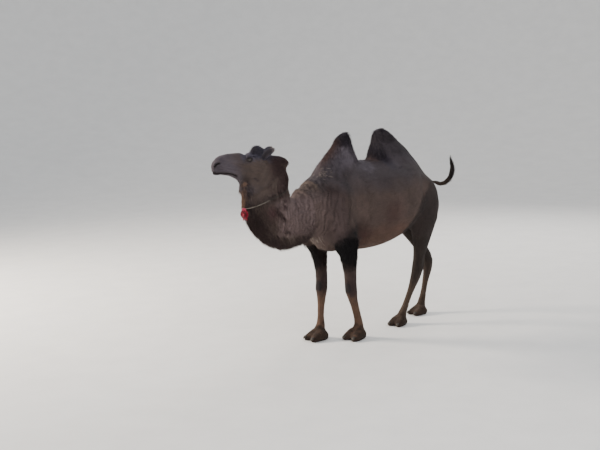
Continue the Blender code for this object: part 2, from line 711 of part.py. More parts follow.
def main():
    for obj in list(bpy.data.objects):
        bpy.data.objects.remove(obj)
    body = whole_flesh()
    cut_soles(body)
    flesh = bvhtree.BVHTree.FromBMesh(as_bmesh(body))
    path = collar_path(flesh)
    cord = collar_cord(path)
    knot = rosette(path[CORD_POINTS // 4])
    carve(cord, knot)

    feet = split_feet(body)
    split_legs(body)
    top = split_top(body)
    flesh_nodes = [obj for obj in bpy.data.objects if not obj.name.startswith("collar")]
    for obj in flesh_nodes:
        merge_flat_faces(obj, FLAT_ANGLE)
    carve(top["neck_upper"], knot)
    for name, side in SIDES:
        carve(top["head"], eyeball("eye_" + name, side, flesh))
        carve(top["head"], ear("ear_" + name, side))
        for foot, node in feet.items():
            carve(node, nail("nail_" + foot + "_" + name, foot, side), "MANIFOLD")

    for obj in flesh_nodes:
        merge_flat_faces(obj, TRUE_FLAT_ANGLE)
    for obj in bpy.data.objects:
        dress(obj)


main()
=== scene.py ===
import math

import bmesh
import bpy
import numpy as np
from mathutils import Matrix, Vector
from mathutils.bvhtree import BVHTree


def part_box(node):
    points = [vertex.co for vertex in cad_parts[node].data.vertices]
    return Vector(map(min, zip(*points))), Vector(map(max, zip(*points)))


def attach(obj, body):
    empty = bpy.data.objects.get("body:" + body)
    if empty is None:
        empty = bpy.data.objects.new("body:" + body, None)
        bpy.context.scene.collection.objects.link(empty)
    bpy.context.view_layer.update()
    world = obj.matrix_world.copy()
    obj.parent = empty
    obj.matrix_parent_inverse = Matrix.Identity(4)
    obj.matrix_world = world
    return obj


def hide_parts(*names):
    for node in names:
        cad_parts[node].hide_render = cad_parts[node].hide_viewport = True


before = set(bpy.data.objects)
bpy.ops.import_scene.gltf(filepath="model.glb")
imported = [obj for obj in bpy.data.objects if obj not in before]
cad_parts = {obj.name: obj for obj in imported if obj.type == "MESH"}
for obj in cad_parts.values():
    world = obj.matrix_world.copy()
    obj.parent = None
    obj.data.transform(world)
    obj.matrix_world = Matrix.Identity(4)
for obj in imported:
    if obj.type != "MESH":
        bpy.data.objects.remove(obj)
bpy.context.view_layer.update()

stand = {
    "backOfBox": 0.318,  # the box centre lies this far behind the fore feet
    "rightOfBox": 0.026,
    "headTurn": 35.0,  # degrees to the camel's right
    "noseTip": (1.054, -0.388, 1.690),  # forward, left, up from between the fore feet
}


# small tools

def unit(v):
    return v / np.maximum(np.linalg.norm(v, axis=-1, keepdims=True), 1e-9)


def dot(a, b):
    return (a * b).sum(-1)


def ramp(x, low, high):  # 0 below low, 1 above high, smooth between
    t = np.clip((x - low) / (high - low), 0, 1)
    return t * t * (3 - 2 * t)


def fall(x, low, high):  # 1 below low, 0 above high, smooth between
    return 1 - ramp(x, low, high)


def band(x, low, high, soft):  # 1 between low and high, falling off over soft
    return ramp(x, low - soft, low) * fall(x, high, high + soft)


def hill(x, centre, width):  # 1 at the centre, a bell curve about width to each side
    return np.exp(-((x - centre) / width) ** 2)


def toWorld(p):  # forward, left, up -> world
    p = np.asarray(p, float)
    return np.stack([p[..., 1] + stand["rightOfBox"], -p[..., 0] - stand["backOfBox"], p[..., 2]], -1)


def toBody(w):
    return np.stack([-w[..., 1] - stand["backOfBox"], w[..., 0] - stand["rightOfBox"], w[..., 2]], -1)


def headToBody(p):  # behind the nose tip, left, up -> forward, left, up
    p = np.asarray(p, float)
    yaw = math.radians(stand["headTurn"])
    c, s = math.cos(yaw), math.sin(yaw)
    nose = stand["noseTip"]
    return np.stack([nose[0] - p[..., 0] * c + p[..., 1] * s,
                     nose[1] + p[..., 0] * s + p[..., 1] * c, nose[2] + p[..., 2]], -1)


def headWorld(p):
    return toWorld(headToBody(p))


def headWay(direction):  # a direction on the head -> world
    return headWorld(direction) - headWorld((0, 0, 0))


def toHead(w):  # world -> behind the nose tip, left, up
    yaw = math.radians(stand["headTurn"])
    c, s = math.cos(yaw), math.sin(yaw)
    ahead, left, up = np.moveaxis(toBody(w) - stand["noseTip"], -1, 0)
    return np.stack([left * s - ahead * c, ahead * s + left * c, up], -1)


def mottle(p, size, seed, waves=7):  # smooth uneven values about 0, from sine waves in chance directions
    chance = np.random.default_rng(seed)
    turns = unit(chance.normal(size=(waves, 3))) * (2 * math.pi / size) * chance.uniform(0.6, 1.6, (waves, 1))
    return np.sin(p @ turns.T + chance.uniform(0, 6.28, waves)).sum(1) / math.sqrt(waves / 2)


def blend(a, b, c, d, t):  # from b to c on a Catmull-Rom curve
    return b + 0.5 * t * (c - a + t * (2 * a - 5 * b + 4 * c - d + t * (3 * b - a - 3 * c + d)))


def fairLine(rows, gap):  # rows on a smooth curve, about one every gap metres
    rows = np.array(rows, float)
    ends = np.vstack([2 * rows[0] - rows[1], rows, 2 * rows[-1] - rows[-2]])
    runs = []
    for a, b, c, d in zip(ends, ends[1:], ends[2:], ends[3:]):
        steps = max(2, int(np.linalg.norm((c - b)[:3]) / gap))
        runs.append(blend(a, b, c, d, np.linspace(0, 1, steps, endpoint=False)[:, None]))
    return np.vstack([*runs, rows[-1:]])


def circle(count):
    return np.linspace(0, 2 * math.pi, count, endpoint=False)


def sections(line, wide, thick, x, y):  # rows of points across a line, x along wide and y along thick
    return line[:, None] + wide[:, None] * x[..., None] + thick[:, None] * y[..., None]


def addObject(name, data):
    obj = bpy.data.objects.new(name, data)
    bpy.context.scene.collection.objects.link(obj)
    return obj


def makeObject(name, points, faces):
    mesh = bpy.data.meshes.new(name)
    faces = np.asarray(faces, np.int32)
    mesh.vertices.add(len(points))
    mesh.vertices.foreach_set("co", np.asarray(points, np.float32).ravel())
    mesh.loops.add(faces.size)
    mesh.loops.foreach_set("vertex_index", faces.ravel())
    mesh.polygons.add(len(faces))
    mesh.polygons.foreach_set("loop_start", np.arange(0, faces.size, faces.shape[1], dtype=np.int32))
    mesh.update(calc_edges=True)
    mesh.polygons.foreach_set("use_smooth", np.ones(len(faces), bool))
    return addObject(name, mesh)


def gridFaces(rows, columns, closed=True):  # quads of a grid of points, joined round if closed
    i = np.arange(rows - 1)[:, None] * columns
    j = np.arange(columns if closed else columns - 1)
    k = (j + 1) % columns
    return np.stack([i + j, i + k, i + columns + k, i + columns + j], -1).reshape(-1, 4)


def splitQuads(quads):
    return np.vstack([quads[:, [0, 1, 2]], quads[:, [0, 2, 3]]])


def fan(start, count, tip):  # triangles from a ring of count points, numbered from start, to one point
    j = np.arange(count)
    return np.stack([start + (j + 1) % count, start + j, np.full(count, tip)], 1)


def closedShell(name, rings):  # a skin over rings of points, closed by a point at each end
    rows, columns = rings.shape[:2]
    points = np.vstack([rings.reshape(-1, 3), rings[0].mean(0), rings[-1].mean(0)])
    last = len(points) - 1
    ends = fan(0, columns, last - 1), fan((rows - 1) * columns, columns, last)[:, [1, 0, 2]]
    obj = makeObject(name, points, np.vstack([splitQuads(gridFaces(rows, columns)), *ends]))
    faceOutwards(obj)
    return obj


def faceOutwards(obj):
    bm = bmesh.new()
    bm.from_mesh(obj.data)
    bmesh.ops.recalc_face_normals(bm, faces=bm.faces)
    bm.to_mesh(obj.data)
    bm.free()


def paint(obj, name, colours):  # a colour for each point
    layer = obj.data.attributes.new(name, "FLOAT_COLOR", "POINT")
    rgba = np.ones((len(colours), 4), np.float32)
    rgba[:, :3] = colours
    layer.data.foreach_set("color", rgba.ravel())


def measure(obj, name, values, domain="POINT"):  # a vector for each point or corner
    layer = obj.data.attributes.new(name, "FLOAT_VECTOR", domain)
    layer.data.foreach_set("vector", np.asarray(values, np.float32).ravel())


def unroll(obj, name, uv, faces):  # a UV map from a place for each point
    layer = obj.data.uv_layers.new(name=name)
    layer.data.foreach_set("uv", uv[faces.ravel()].astype(np.float32).ravel())


# materials

class Finish:  # a material under construction
    def __init__(self, name, roughness, **constants):
        self.material = bpy.data.materials.new(name)
        self.material.use_nodes = True
        self.tree = self.material.node_tree
        self.shader = self.tree.nodes["Principled BSDF"]
        self.shader.inputs["Roughness"].default_value = roughness
        for socket, value in constants.items():
            self.shader.inputs[socket.replace("_", " ")].default_value = value

    def node(self, kind, inputs, output, **settings):  # feeds a new node and gives one of its outputs
        made = self.tree.nodes.new(kind)
        for key, value in settings.items():
            setattr(made, key, value)
        for socket, value in inputs.items():
            if isinstance(value, bpy.types.NodeSocket):
                self.tree.links.new(value, made.inputs[socket])
            else:
                made.inputs[socket].default_value = value
        return made.outputs[output]

    def attribute(self, name, output="Color"):
        return self.node("ShaderNodeAttribute", {}, output, attribute_name=name)

    def place(self, scale, source="Object"):  # source: Object, UV, or the name of a vector attribute
        if source in ("Object", "UV"):
            vector = self.node("ShaderNodeTexCoord", {}, source)
        else:
            vector = self.attribute(source, "Vector")
        return self.node("ShaderNodeMapping", {"Vector": vector, "Scale": scale}, "Vector")

    def noise(self, scale, detail=3, source="Object"):
        return self.node("ShaderNodeTexNoise", {"Vector": self.place(scale, source), "Scale": 1.0,
                                                "Detail": detail, "Roughness": 0.55}, "Fac")

    def mix(self, factor, a, b):  # numbers
        return self.node("ShaderNodeMix", {0: factor, 2: a, 3: b}, 0, data_type="FLOAT")

    def spread(self, pattern, low, high):  # stretches the middle of a 0..1 pattern to low..high
        return self.node("ShaderNodeMapRange", {"Value": pattern, "From Min": 0.3, "From Max": 0.7,
                                                "To Min": low, "To Max": high}, "Result")

    def colour(self, pattern, base=None):  # the painted colour, or base, times a pattern
        inputs = {0: self.attribute("coat") if base is None else base, "Scale": pattern}
        scaled = self.node("ShaderNodeVectorMath", inputs, "Vector", operation="SCALE")
        self.tree.links.new(scaled, self.shader.inputs["Base Color"])

    def bump(self, height, distance, strength):  # over any bump there is already
        inputs = {"Height": height, "Distance": distance, "Strength": strength}
        normal = self.shader.inputs["Normal"]
        if normal.links:
            inputs["Normal"] = normal.links[0].from_socket
        self.tree.links.new(self.node("ShaderNodeBump", inputs, "Normal"), normal)


def skinFinish():  # short hair in strands along the lie of the coat, over fine leathery grain
    f = Finish("skinFinish", 0.85, Sheen_Weight=0.03, Sheen_Roughness=0.6, Specular_IOR_Level=0.05)
    fine = f.noise((38, 420, 420), source="strands")
    locks = f.noise((16, 105, 105), source="strands")
    blotches = f.noise((11, 11, 11), 4)
    grain = f.noise((260, 260, 260), 4)
    strands = f.mix(0.42, fine, locks)
    f.colour(f.mix(0.4, f.spread(strands, 0.62, 1.38), f.spread(blotches, 0.8, 1.2)))
    f.bump(grain, 0.0010, 0.4)
    f.bump(strands, 0.0045, 0.8)
    return f.material


def ribbonFinish():  # satin weave: fine ribs across, with a sheen
    f = Finish("ribbonFinish", 0.55, Sheen_Weight=0.02, Sheen_Roughness=0.4, Specular_IOR_Level=0.25,
               Anisotropic=0.3)
    f.colour(f.spread(f.noise((120, 120, 120)), 0.75, 1.2))
    ribs = {"Vector": f.place((1, 1, 1), "UV"), "Scale": 60, "Distortion": 1.5}
    f.bump(f.node("ShaderNodeTexWave", ribs, "Fac", wave_type="BANDS", bands_direction="Y"), 0.0004, 0.5)
    return f.material


plainFinishes = {
    # roughness, other values, then noise and detail of the colour with its darkest and lightest,
    # and noise and detail of the bump with its depth and strength
    "hair": (0.66, {"Sheen_Weight": 0.03, "Sheen_Roughness": 0.5, "Specular_IOR_Level": 0.06},
             ((60, 40, 60), 3, 0.88, 1.14), ((900, 900, 260), 2, 0.0006, 0.5)),
    "eye": (0.06, {"IOR": 1.38, "Coat_Weight": 1.0, "Coat_Roughness": 0.02},
            ((900, 900, 900), 4, 0.7, 1.3), None),
    "lid": (0.42, {"Specular_IOR_Level": 0.4},
            ((500, 500, 500), 3, 0.75, 1.25), ((700, 700, 700), 4, 0.0006, 0.6)),
    "horn": (0.62, {"Specular_IOR_Level": 0.2},  # growth rings across the nail
             ((60, 60, 700), 3, 0.65, 1.35), ((60, 60, 700), 3, 0.0012, 0.6)),
    "cord": (0.85, {"Specular_IOR_Level": 0.2},
             ((1500, 1500, 1500), 2, 0.7, 1.25), ((2500, 2500, 900), 3, 0.0005, 0.8)),
}


def plainFinish(name):
    roughness, constants, (scale, detail, dark, light), relief = plainFinishes[name]
    f = Finish(name + "Finish", roughness, **constants)
    f.colour(f.spread(f.noise(scale, detail), dark, light))
    if relief:
        scale, detail, depth, strength = relief
        f.bump(f.noise(scale, detail), depth, strength)
    return f.material


finishes = {name: plainFinish(name) for name in plainFinishes}
finishes.update(skin=skinFinish(), ribbon=ribbonFinish())


def wear(obj, finish):
    obj.data.materials.clear()
    obj.data.materials.append(finishes[finish])
    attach(obj, "root")


# camera, lights and floor

studio = {
    "eye": (6.739, -6.583, 2.465),  # where the camera stands
    "looks": (-0.7516, 0.6596), "down": 8.42, "roll": 2.1, "lens": 60.0,
    "floor": (0.78, 0.765, 0.74), "flat": 10.5, "curve": 14.0, "wall": 15.0, "sides": 128,
    "world": (0.90, 0.94, 1.0), "worldStrength": 0.9,
    # place, what it looks at, size, watts, colour
    "key": ((-6.6, -4.6, 4.0), (0, 0, 1.2), 2.4, 1250, (1.0, 0.90, 0.78)),
    "fill": ((6.5, -3.0, 6.0), (0, 0, 1.0), 6.0, 260, (0.95, 0.97, 1.0)),
    "back": ((-2.5, 6.5, 5.0), (0, 0, 1.2), 4.5, 300, (1.0, 0.97, 0.93)),
}


def facing(way):  # a turn that points -Z along way
    return way.to_track_quat("-Z", "Y").to_matrix().to_4x4()


def setCamera():
    camera = bpy.data.cameras.new("camera")
    camera.lens = studio["lens"]
    camera.sensor_width = 36.0
    camera.clip_end = 200
    eye = addObject("camera", camera)
    dip = math.radians(studio["down"])
    ahead = Vector((*(c * math.cos(dip) for c in studio["looks"]), -math.sin(dip)))
    roll = Matrix.Rotation(-math.radians(studio["roll"]), 4, "Z")
    eye.matrix_world = Matrix.Translation(studio["eye"]) @ facing(ahead) @ roll
    bpy.context.scene.camera = eye


def setLights():
    for name in ("key", "fill", "back"):
        place, aim, size, watts, colour = studio[name]
        light = bpy.data.lights.new(name, "AREA")
        light.shape, light.size, light.energy, light.color = "DISK", size, watts, colour
        lamp = addObject(name, light)
        lamp.matrix_world = Matrix.Translation(place) @ facing(Vector(aim) - Vector(place))
    world = bpy.data.worlds.new("studio")
    world.use_nodes = True
    sky = world.node_tree.nodes["Background"].inputs
    sky["Color"].default_value = (*studio["world"], 1)
    sky["Strength"].default_value = studio["worldStrength"]
    bpy.context.scene.world = world


def layFloor():  # a flat disc whose edge curves up into a wall all round
    flat, curve, count = studio["flat"], studio["curve"], studio["sides"]
    rise = np.linspace(0, math.pi / 2, 25)
    reach = np.concatenate([[0.01], flat + curve * np.sin(rise), [flat + curve]])[:, None]
    height = np.concatenate([[0], curve * (1 - np.cos(rise)), [studio["wall"]]])[:, None]
    turn = circle(count)
    rings = np.stack([reach * np.cos(turn), reach * np.sin(turn), np.repeat(height, count, 1)], 2)
    faces = np.vstack([splitQuads(gridFaces(len(reach), count)), fan(0, count, len(reach) * count)])
    floor = makeObject("floor", np.vstack([rings.reshape(-1, 3), [[0, 0, 0]]]), faces)
    f = Finish("floorFinish", 0.9, Specular_IOR_Level=0.2)
    f.colour(f.spread(f.noise((3, 3, 3), 6), 0.97, 1.03), studio["floor"])
    floor.data.materials.append(f.material)


setCamera()
setLights()
layFloor()
print("studio set")


# bones: lines down each part, running the way its hair lies

boneLines = {  # forward, left, up, thickness
    "neck": [(0.70, -0.105, 1.74, 0.11), (0.71, -0.09, 1.62, 0.16), (0.725, -0.06, 1.48, 0.18),
             (0.70, -0.03, 1.34, 0.20), (0.60, -0.01, 1.23, 0.20), (0.45, 0, 1.215, 0.20),
             (0.28, 0, 1.27, 0.22), (0.20, 0, 1.30, 0.24)],
    "trunk": [(0.22, 0, 1.26, 0.26), (0.0, 0, 1.25, 0.36), (-0.25, 0, 1.25, 0.40), (-0.50, 0, 1.24, 0.42),
              (-0.72, 0, 1.24, 0.41), (-0.90, 0, 1.25, 0.37), (-1.05, 0, 1.25, 0.32), (-1.20, 0, 1.27, 0.28),
              (-1.35, 0, 1.34, 0.14)],
    "tail": [(-1.38, 0.005, 1.40, 0.036), (-1.47, 0.02, 1.35, 0.03), (-1.55, 0.035, 1.335, 0.03),
             (-1.63, 0.05, 1.37, 0.03), (-1.675, 0.06, 1.45, 0.03), (-1.67, 0.062, 1.53, 0.025),
             (-1.645, 0.06, 1.60, 0.015)],
    "foreLeft": [(0.02, 0.20, 1.02, 0.13), (-0.05, 0.19, 0.87, 0.09), (-0.08, 0.165, 0.70, 0.07),
                 (-0.10, 0.15, 0.56, 0.062), (-0.105, 0.15, 0.48, 0.062), (-0.125, 0.145, 0.40, 0.05),
                 (-0.165, 0.14, 0.27, 0.042), (-0.195, 0.135, 0.16, 0.046), (-0.18, 0.132, 0.08, 0.06)],
    "foreRight": [(0.03, -0.20, 1.02, 0.13), (-0.015, -0.19, 0.90, 0.095), (-0.015, -0.165, 0.74, 0.07),
                  (-0.01, -0.15, 0.58, 0.062), (0.0, -0.145, 0.48, 0.062), (0.012, -0.14, 0.40, 0.05),
                  (0.03, -0.135, 0.26, 0.04), (0.045, -0.13, 0.15, 0.045), (0.08, -0.128, 0.08, 0.06)],
    "hindLeft": [(-1.11, 0.21, 1.20, 0.14), (-1.05, 0.21, 1.0, 0.14), (-1.05, 0.175, 0.82, 0.095),
                 (-1.058, 0.14, 0.66, 0.066), (-1.055, 0.125, 0.56, 0.062), (-1.03, 0.112, 0.46, 0.054),
                 (-0.98, 0.1, 0.34, 0.042), (-0.91, 0.09, 0.2, 0.038), (-0.86, 0.082, 0.11, 0.045),
                 (-0.83, 0.078, 0.06, 0.055)],
    "hindRight": [(-1.18, -0.21, 1.20, 0.14), (-1.24, -0.2, 1.0, 0.14), (-1.33, -0.165, 0.82, 0.095),
                  (-1.42, -0.135, 0.66, 0.066), (-1.475, -0.12, 0.55, 0.06), (-1.47, -0.115, 0.45, 0.053),
                  (-1.43, -0.105, 0.34, 0.042), (-1.375, -0.095, 0.2, 0.038), (-1.33, -0.085, 0.11, 0.045),
                  (-1.30, -0.08, 0.06, 0.055)],
    "humpFront": [(-0.18, 0.042, 1.99, 0.03), (-0.18, 0.03, 1.90, 0.085), (-0.15, 0.01, 1.72, 0.16),
                  (-0.12, 0.0, 1.60, 0.2)],
    "humpRear": [(-0.72, -0.035, 1.99, 0.03), (-0.73, -0.03, 1.90, 0.10), (-0.78, -0.01, 1.72, 0.20),
                 (-0.80, 0.0, 1.60, 0.25)],
}
headLine = np.array([  # behind the nose tip, left, up, thickness
    (0.0, 0, 0.0, 0.04), (0.08, 0, 0.02, 0.07), (0.2, 0, 0.01, 0.09), (0.33, 0, 0.0, 0.115),
    (0.45, 0, 0.0, 0.125), (0.56, 0, 0.0, 0.12), (0.65, 0, -0.02, 0.09)])
boneNames = ["head", *boneLines]


def makeBones():  # closely spaced places on every line, each with its own frame
    lines = {"head": np.column_stack([headToBody(headLine[:, :3]), headLine[:, 3]]), **boneLines}
    tables = []
    for number, name in enumerate(boneNames):
        fine = fairLine(lines[name], 0.02)
        place = toWorld(fine[:, :3])
        along = unit(np.gradient(place, axis=0))
        yaw = math.radians(stand["headTurn"]) if name == "head" else 0.0
        top = unit(np.cross((math.cos(yaw), -math.sin(yaw), 0.0), along))
        metres = np.append(0, np.cumsum(np.linalg.norm(np.diff(place, axis=0), axis=1)))
        tables.append({"place": place, "along": along, "across": np.cross(along, top), "top": top,
                       "radius": fine[:, 3], "metres": metres, "travelled": metres / metres[-1],
                       "bone": np.full(len(fine), number)})
    return {key: np.concatenate([table[key] for table in tables]) for key in tables[0]}


bones = makeBones()


def nearestBone(points):  # for each point, the place on a line that is nearest for its thickness
    found = []
    chunkSize = 8000
    for chunk in np.array_split(points, len(points) // chunkSize + 1):
        gap = np.linalg.norm(chunk[:, None] - bones["place"], axis=2) / bones["radius"]
        wrongPart = (headness(chunk) > 0.5)[:, None] != (bones["bone"] == boneNames.index("head"))
        found.append(np.argmin(gap + 99.0 * wrongPart, axis=1))
    return np.concatenate(found)


def onBones(bone, *names):
    return np.isin(bone, [boneNames.index(name) for name in names])


def strandSpace(points, boneIndex):  # how far along its line a point lies, and its place in the section there
    away = points - bones["place"][boneIndex]
    along, across, top = (dot(away, bones[axis][boneIndex]) for axis in ("along", "across", "top"))
    return np.stack([bones["metres"][boneIndex] + along, across, top], 1)


def cornerStrands(mesh, points, boneIndex):  # as above for face corners, each face keeping to one line
    loops = np.empty(len(mesh.loops), np.int32)
    mesh.loops.foreach_get("vertex_index", loops)
    starts = np.empty(len(mesh.polygons), np.int32)
    mesh.polygons.foreach_get("loop_start", starts)
    counts = np.diff(np.append(starts, len(loops)))
    own, lead = boneIndex[loops], np.repeat(boneIndex[loops[starts]], counts)
    return strandSpace(points[loops], np.where(bones["bone"][own] == bones["bone"][lead], own, lead))


# the skin: one surface a coat's depth inside the solids

skinLook = {
    "cell": 0.0150,  # metres; halved on the head and neck, and again on the face and lids
    "fairRounds": 8, "settleRounds": 5, "overlap": 0.0006, "crinkle": 0.0012,
    # place and radius of the balls that fill the sockets of the ears and nails
    "earPlug": ((0.478, 0.066, 0.070), 0.027), "nailPlug": ((0, 0.008, -0.004), 0.013),
}
fleshNodes = [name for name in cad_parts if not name.startswith(("collar", "ear", "eye", "nail"))]


def plugPlaces():  # middle and radius of each ball
    place, radius = skinLook["earPlug"]
    plugs = [(headWorld(np.array(place) * (1, sign, 1)), radius) for sign in (-1, 1)]
    place, radius = skinLook["nailPlug"]
    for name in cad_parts:
        if name.startswith("nail"):
            low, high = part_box(name)
            plugs.append(((low + high) / 2 + Vector(place), radius))
    return plugs


def joinedFlesh():  # merged copies of the flesh solids, a hair fatter so that they overlap
    bm = bmesh.new()
    for name in fleshNodes:
        one = bmesh.new()
        one.from_mesh(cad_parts[name].data)
        bmesh.ops.remove_doubles(one, verts=one.verts, dist=1e-6)
        one.normal_update()
        for v in one.verts:
            v.co += v.normal * skinLook["overlap"]
        copy = bpy.data.meshes.new("copy")
        one.to_mesh(copy)
        one.free()
        bm.from_mesh(copy)
        bpy.data.meshes.remove(copy)
    for place, size in plugPlaces():
        bmesh.ops.create_icosphere(bm, subdivisions=2, radius=size, matrix=Matrix.Translation(place))
    mesh = bpy.data.meshes.new("skin")
    bm.to_mesh(mesh)
    outline = BVHTree.FromBMesh(bm)
    bm.free()
    return addObject("skin", mesh), outline


def meshArrays(mesh):
    points = np.empty(len(mesh.vertices) * 3)
    mesh.vertices.foreach_get("co", points)
    edges = np.empty(len(mesh.edges) * 2, np.int32)
    mesh.edges.foreach_get("vertices", edges)
    mesh.calc_loop_triangles()
    corners = np.empty(len(mesh.loop_triangles) * 3, np.int32)
    mesh.loop_triangles.foreach_get("vertices", corners)
    return points.reshape(-1, 3), edges.reshape(-1, 2), corners.reshape(-1, 3)


def fair(values, edges, rounds, amounts=(0.5,)):  # each point moves towards the mean of its neighbours
    values = np.array(values, float)
    flat = values.reshape(len(values), -1)
    a, b = edges.T
    count = np.maximum(np.bincount(edges.ravel(), minlength=len(values)), 1)
    for i in range(rounds * len(amounts)):
        for column in flat.T:
            total = np.bincount(a, column[b], len(values)) + np.bincount(b, column[a], len(values))
            column += amounts[i % len(amounts)] * (total / count - column)
    return flat.reshape(values.shape)


def pointNormals(points, corners):
    a, b, c = (points[corner] for corner in corners.T)
    cross = np.cross(b - a, c - a)
    normals = np.empty_like(points)
    for axis in range(3):
        normals[:, axis] = np.bincount(corners.ravel(), np.repeat(cross[:, axis], 3), len(points))
    return unit(normals)


def refine(mesh, chooser):  # halves the cells where chooser says so
    bm = bmesh.new()
    bm.from_mesh(mesh)
    bm.edges.ensure_lookup_table()
    places = np.array([v.co[:] for v in bm.verts])
    chosen = chooser(places)
    edges = [e for e in bm.edges if chosen[e.verts[0].index] and chosen[e.verts[1].index]]
    bmesh.ops.subdivide_edges(bm, edges=edges, cuts=1, use_grid_fill=True)
    bm.to_mesh(mesh)
    bm.free()


def headness(points):  # 1 on the head, 0 on the neck and body
    b, _, u = toHead(points).T
    under = -0.20 + 0.625 * np.maximum(b - 0.40, 0)  # the line of the jaw, rising behind the cheek
    return ramp(u - under, -0.03, 0.03) * fall(b, 0.68, 0.76)


eyePlaces = {side: np.array(sum(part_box("eye_" + side), Vector()) / 2) for side in ("left", "right")}


def eyeDistance(points):  # to the nearer eye
    return np.minimum(*[np.linalg.norm(points - eye, axis=1) for eye in eyePlaces.values()])


def wantsNeck(points):
    f, _, u = toBody(points).T
    return (f > 0.17) & (f < 0.74) & (u > 1.05) & (u < 1.56) & (headness(points) < 0.5)


def wantsHead(points):
    return (headness(points) > 0.5) | (points[:, 2] < 0.13)


def wantsFace(points):
    b, _, u = toHead(points).T
    return (eyeDistance(points) < 0.062) | (b < 0.27) & (u < 0.09) & (headness(points) > 0.5)


def wantsLids(points):
    return eyeDistance(points) < 0.042


sculptLines = {
    # side view of the head (behind, up), radius, depth (+ out, - in); on both sides
    "mouth": ([(0.022, -0.030), (0.05, -0.036), (0.10, -0.036), (0.15, -0.040), (0.19, -0.049),
               (0.222, -0.066)], 0.0048, -0.0075),
    "upperLip": ([(0.03, -0.016), (0.08, -0.021), (0.14, -0.026), (0.19, -0.035)], 0.009, 0.0035),
    "lowerLip": ([(0.015, -0.046), (0.07, -0.050), (0.14, -0.054)], 0.010, 0.003),
    "mouthCorner": ([(0.222, -0.066), (0.245, -0.085), (0.25, -0.10)], 0.010, -0.003),
    "nostril": ([(0.036, 0.024), (0.047, 0.039), (0.061, 0.048), (0.075, 0.052)], 0.0044, -0.013),
    "nostrilTop": ([(0.028, 0.036), (0.045, 0.056), (0.068, 0.068), (0.088, 0.068)], 0.009, 0.0045),
    "nostrilUnder": ([(0.046, 0.020), (0.062, 0.034), (0.084, 0.040)], 0.008, 0.003),
    "crease1": ([(0.085, 0.020), (0.14, 0.012), (0.20, 0.010), (0.26, 0.004)], 0.006, -0.0028),
    "crease2": ([(0.075, 0.000), (0.13, -0.006), (0.19, -0.012), (0.25, -0.022)], 0.006, -0.0026),
    "crease3": ([(0.11, 0.040), (0.17, 0.036), (0.23, 0.030)], 0.007, -0.0022),
    "faceCrest": ([(0.20, 0.055), (0.27, 0.044), (0.34, 0.030), (0.41, 0.018), (0.47, 0.022)], 0.018, 0.006),
    "underCrest": ([(0.22, 0.022), (0.29, 0.008), (0.36, -0.008)], 0.020, -0.005),
    "tearLine": ([(0.315, 0.062), (0.292, 0.048), (0.275, 0.030)], 0.007, -0.003),
    "jawEdge": ([(0.24, -0.105), (0.31, -0.145), (0.38, -0.175), (0.46, -0.170), (0.53, -0.12)],
                0.018, 0.005),
    "cheekHollow": ([(0.28, -0.05), (0.34, -0.075), (0.38, -0.10)], 0.024, -0.005),
    "jawMuscle": ([(0.42, -0.02), (0.44, -0.07), (0.44, -0.11)], 0.034, 0.006),
    "templeHollow": ([(0.405, 0.092), (0.43, 0.088)], 0.018, -0.004),
}
bodyLines = {
    # which sides, then: side view (forward, up), radius, depth
    "both": {
        "bladeFront": ([(0.10, 1.45), (0.16, 1.28), (0.15, 1.10)], 0.045, -0.012),
        "bladeRear": ([(-0.14, 1.46), (-0.16, 1.28), (-0.12, 1.10)], 0.045, -0.010),
        "bladeRidge": ([(0.02, 1.46), (0.03, 1.30), (0.07, 1.16)], 0.030, 0.007),
        "elbowFold": ([(-0.12, 1.02), (-0.18, 0.98), (-0.20, 0.92)], 0.025, -0.010),
        "hipHollow": ([(-1.00, 1.42), (-0.97, 1.34)], 0.050, -0.010),
        "hipBone": ([(-1.06, 1.44), (-1.12, 1.40)], 0.045, 0.008),
        "rumpGroove": ([(-1.24, 1.40), (-1.26, 1.24), (-1.24, 1.08)], 0.030, -0.008),
        "neckGroove": ([(0.66, 1.52), (0.58, 1.34), (0.42, 1.27), (0.24, 1.30)], 0.035, -0.004),
        "neckMuscle": ([(0.72, 1.40), (0.62, 1.24), (0.46, 1.17), (0.28, 1.18)], 0.040, 0.006),
    },
    "left": {
        "flankFold": ([(-0.99, 1.32), (-0.93, 1.20), (-0.85, 1.07), (-0.76, 0.98)], 0.024, -0.014),
        "flankRim": ([(-0.92, 1.30), (-0.86, 1.18), (-0.78, 1.06), (-0.69, 0.97)], 0.024, 0.005),
    },
    "right": {
        "flankFold": ([(-1.02, 1.32), (-1.00, 1.20), (-0.97, 1.08), (-0.92, 0.99)], 0.026, -0.013),
    },
}
legLines = {
    # side view (forward, up), radius, depth, how far left the leg is; on both faces of the leg
    "tendonForeLeft": ([(-0.135, 0.42), (-0.185, 0.28), (-0.215, 0.17)], 0.012, -0.006, 0.14),
    "tendonForeRight": ([(-0.005, 0.42), (0.005, 0.28), (0.020, 0.17)], 0.012, -0.006, -0.135),
    "tendonHindLeft": ([(-1.06, 0.50), (-1.01, 0.34), (-0.94, 0.20)], 0.012, -0.006, 0.10),
    "tendonHindRight": ([(-1.50, 0.50), (-1.455, 0.34), (-1.395, 0.20)], 0.012, -0.006, -0.105),
    "hockHollowLeft": ([(-1.085, 0.66), (-1.09, 0.56)], 0.016, -0.009, 0.13),
    "hockHollowRight": ([(-1.47, 0.66), (-1.515, 0.57)], 0.016, -0.009, -0.125),
}
frontLines = {
    # front of the muzzle (left, up): the cleft of the upper lip, the two lips, the chin
    "cleft": ([(0.0, 0.030), (0.0, -0.026)], 0.004, -0.006),
    "lips": ([(-0.05, -0.030), (0.0, -0.027), (0.05, -0.030)], 0.0048, -0.0075),
    "chin": ([(-0.03, -0.048), (0.03, -0.048)], 0.010, 0.004),
}


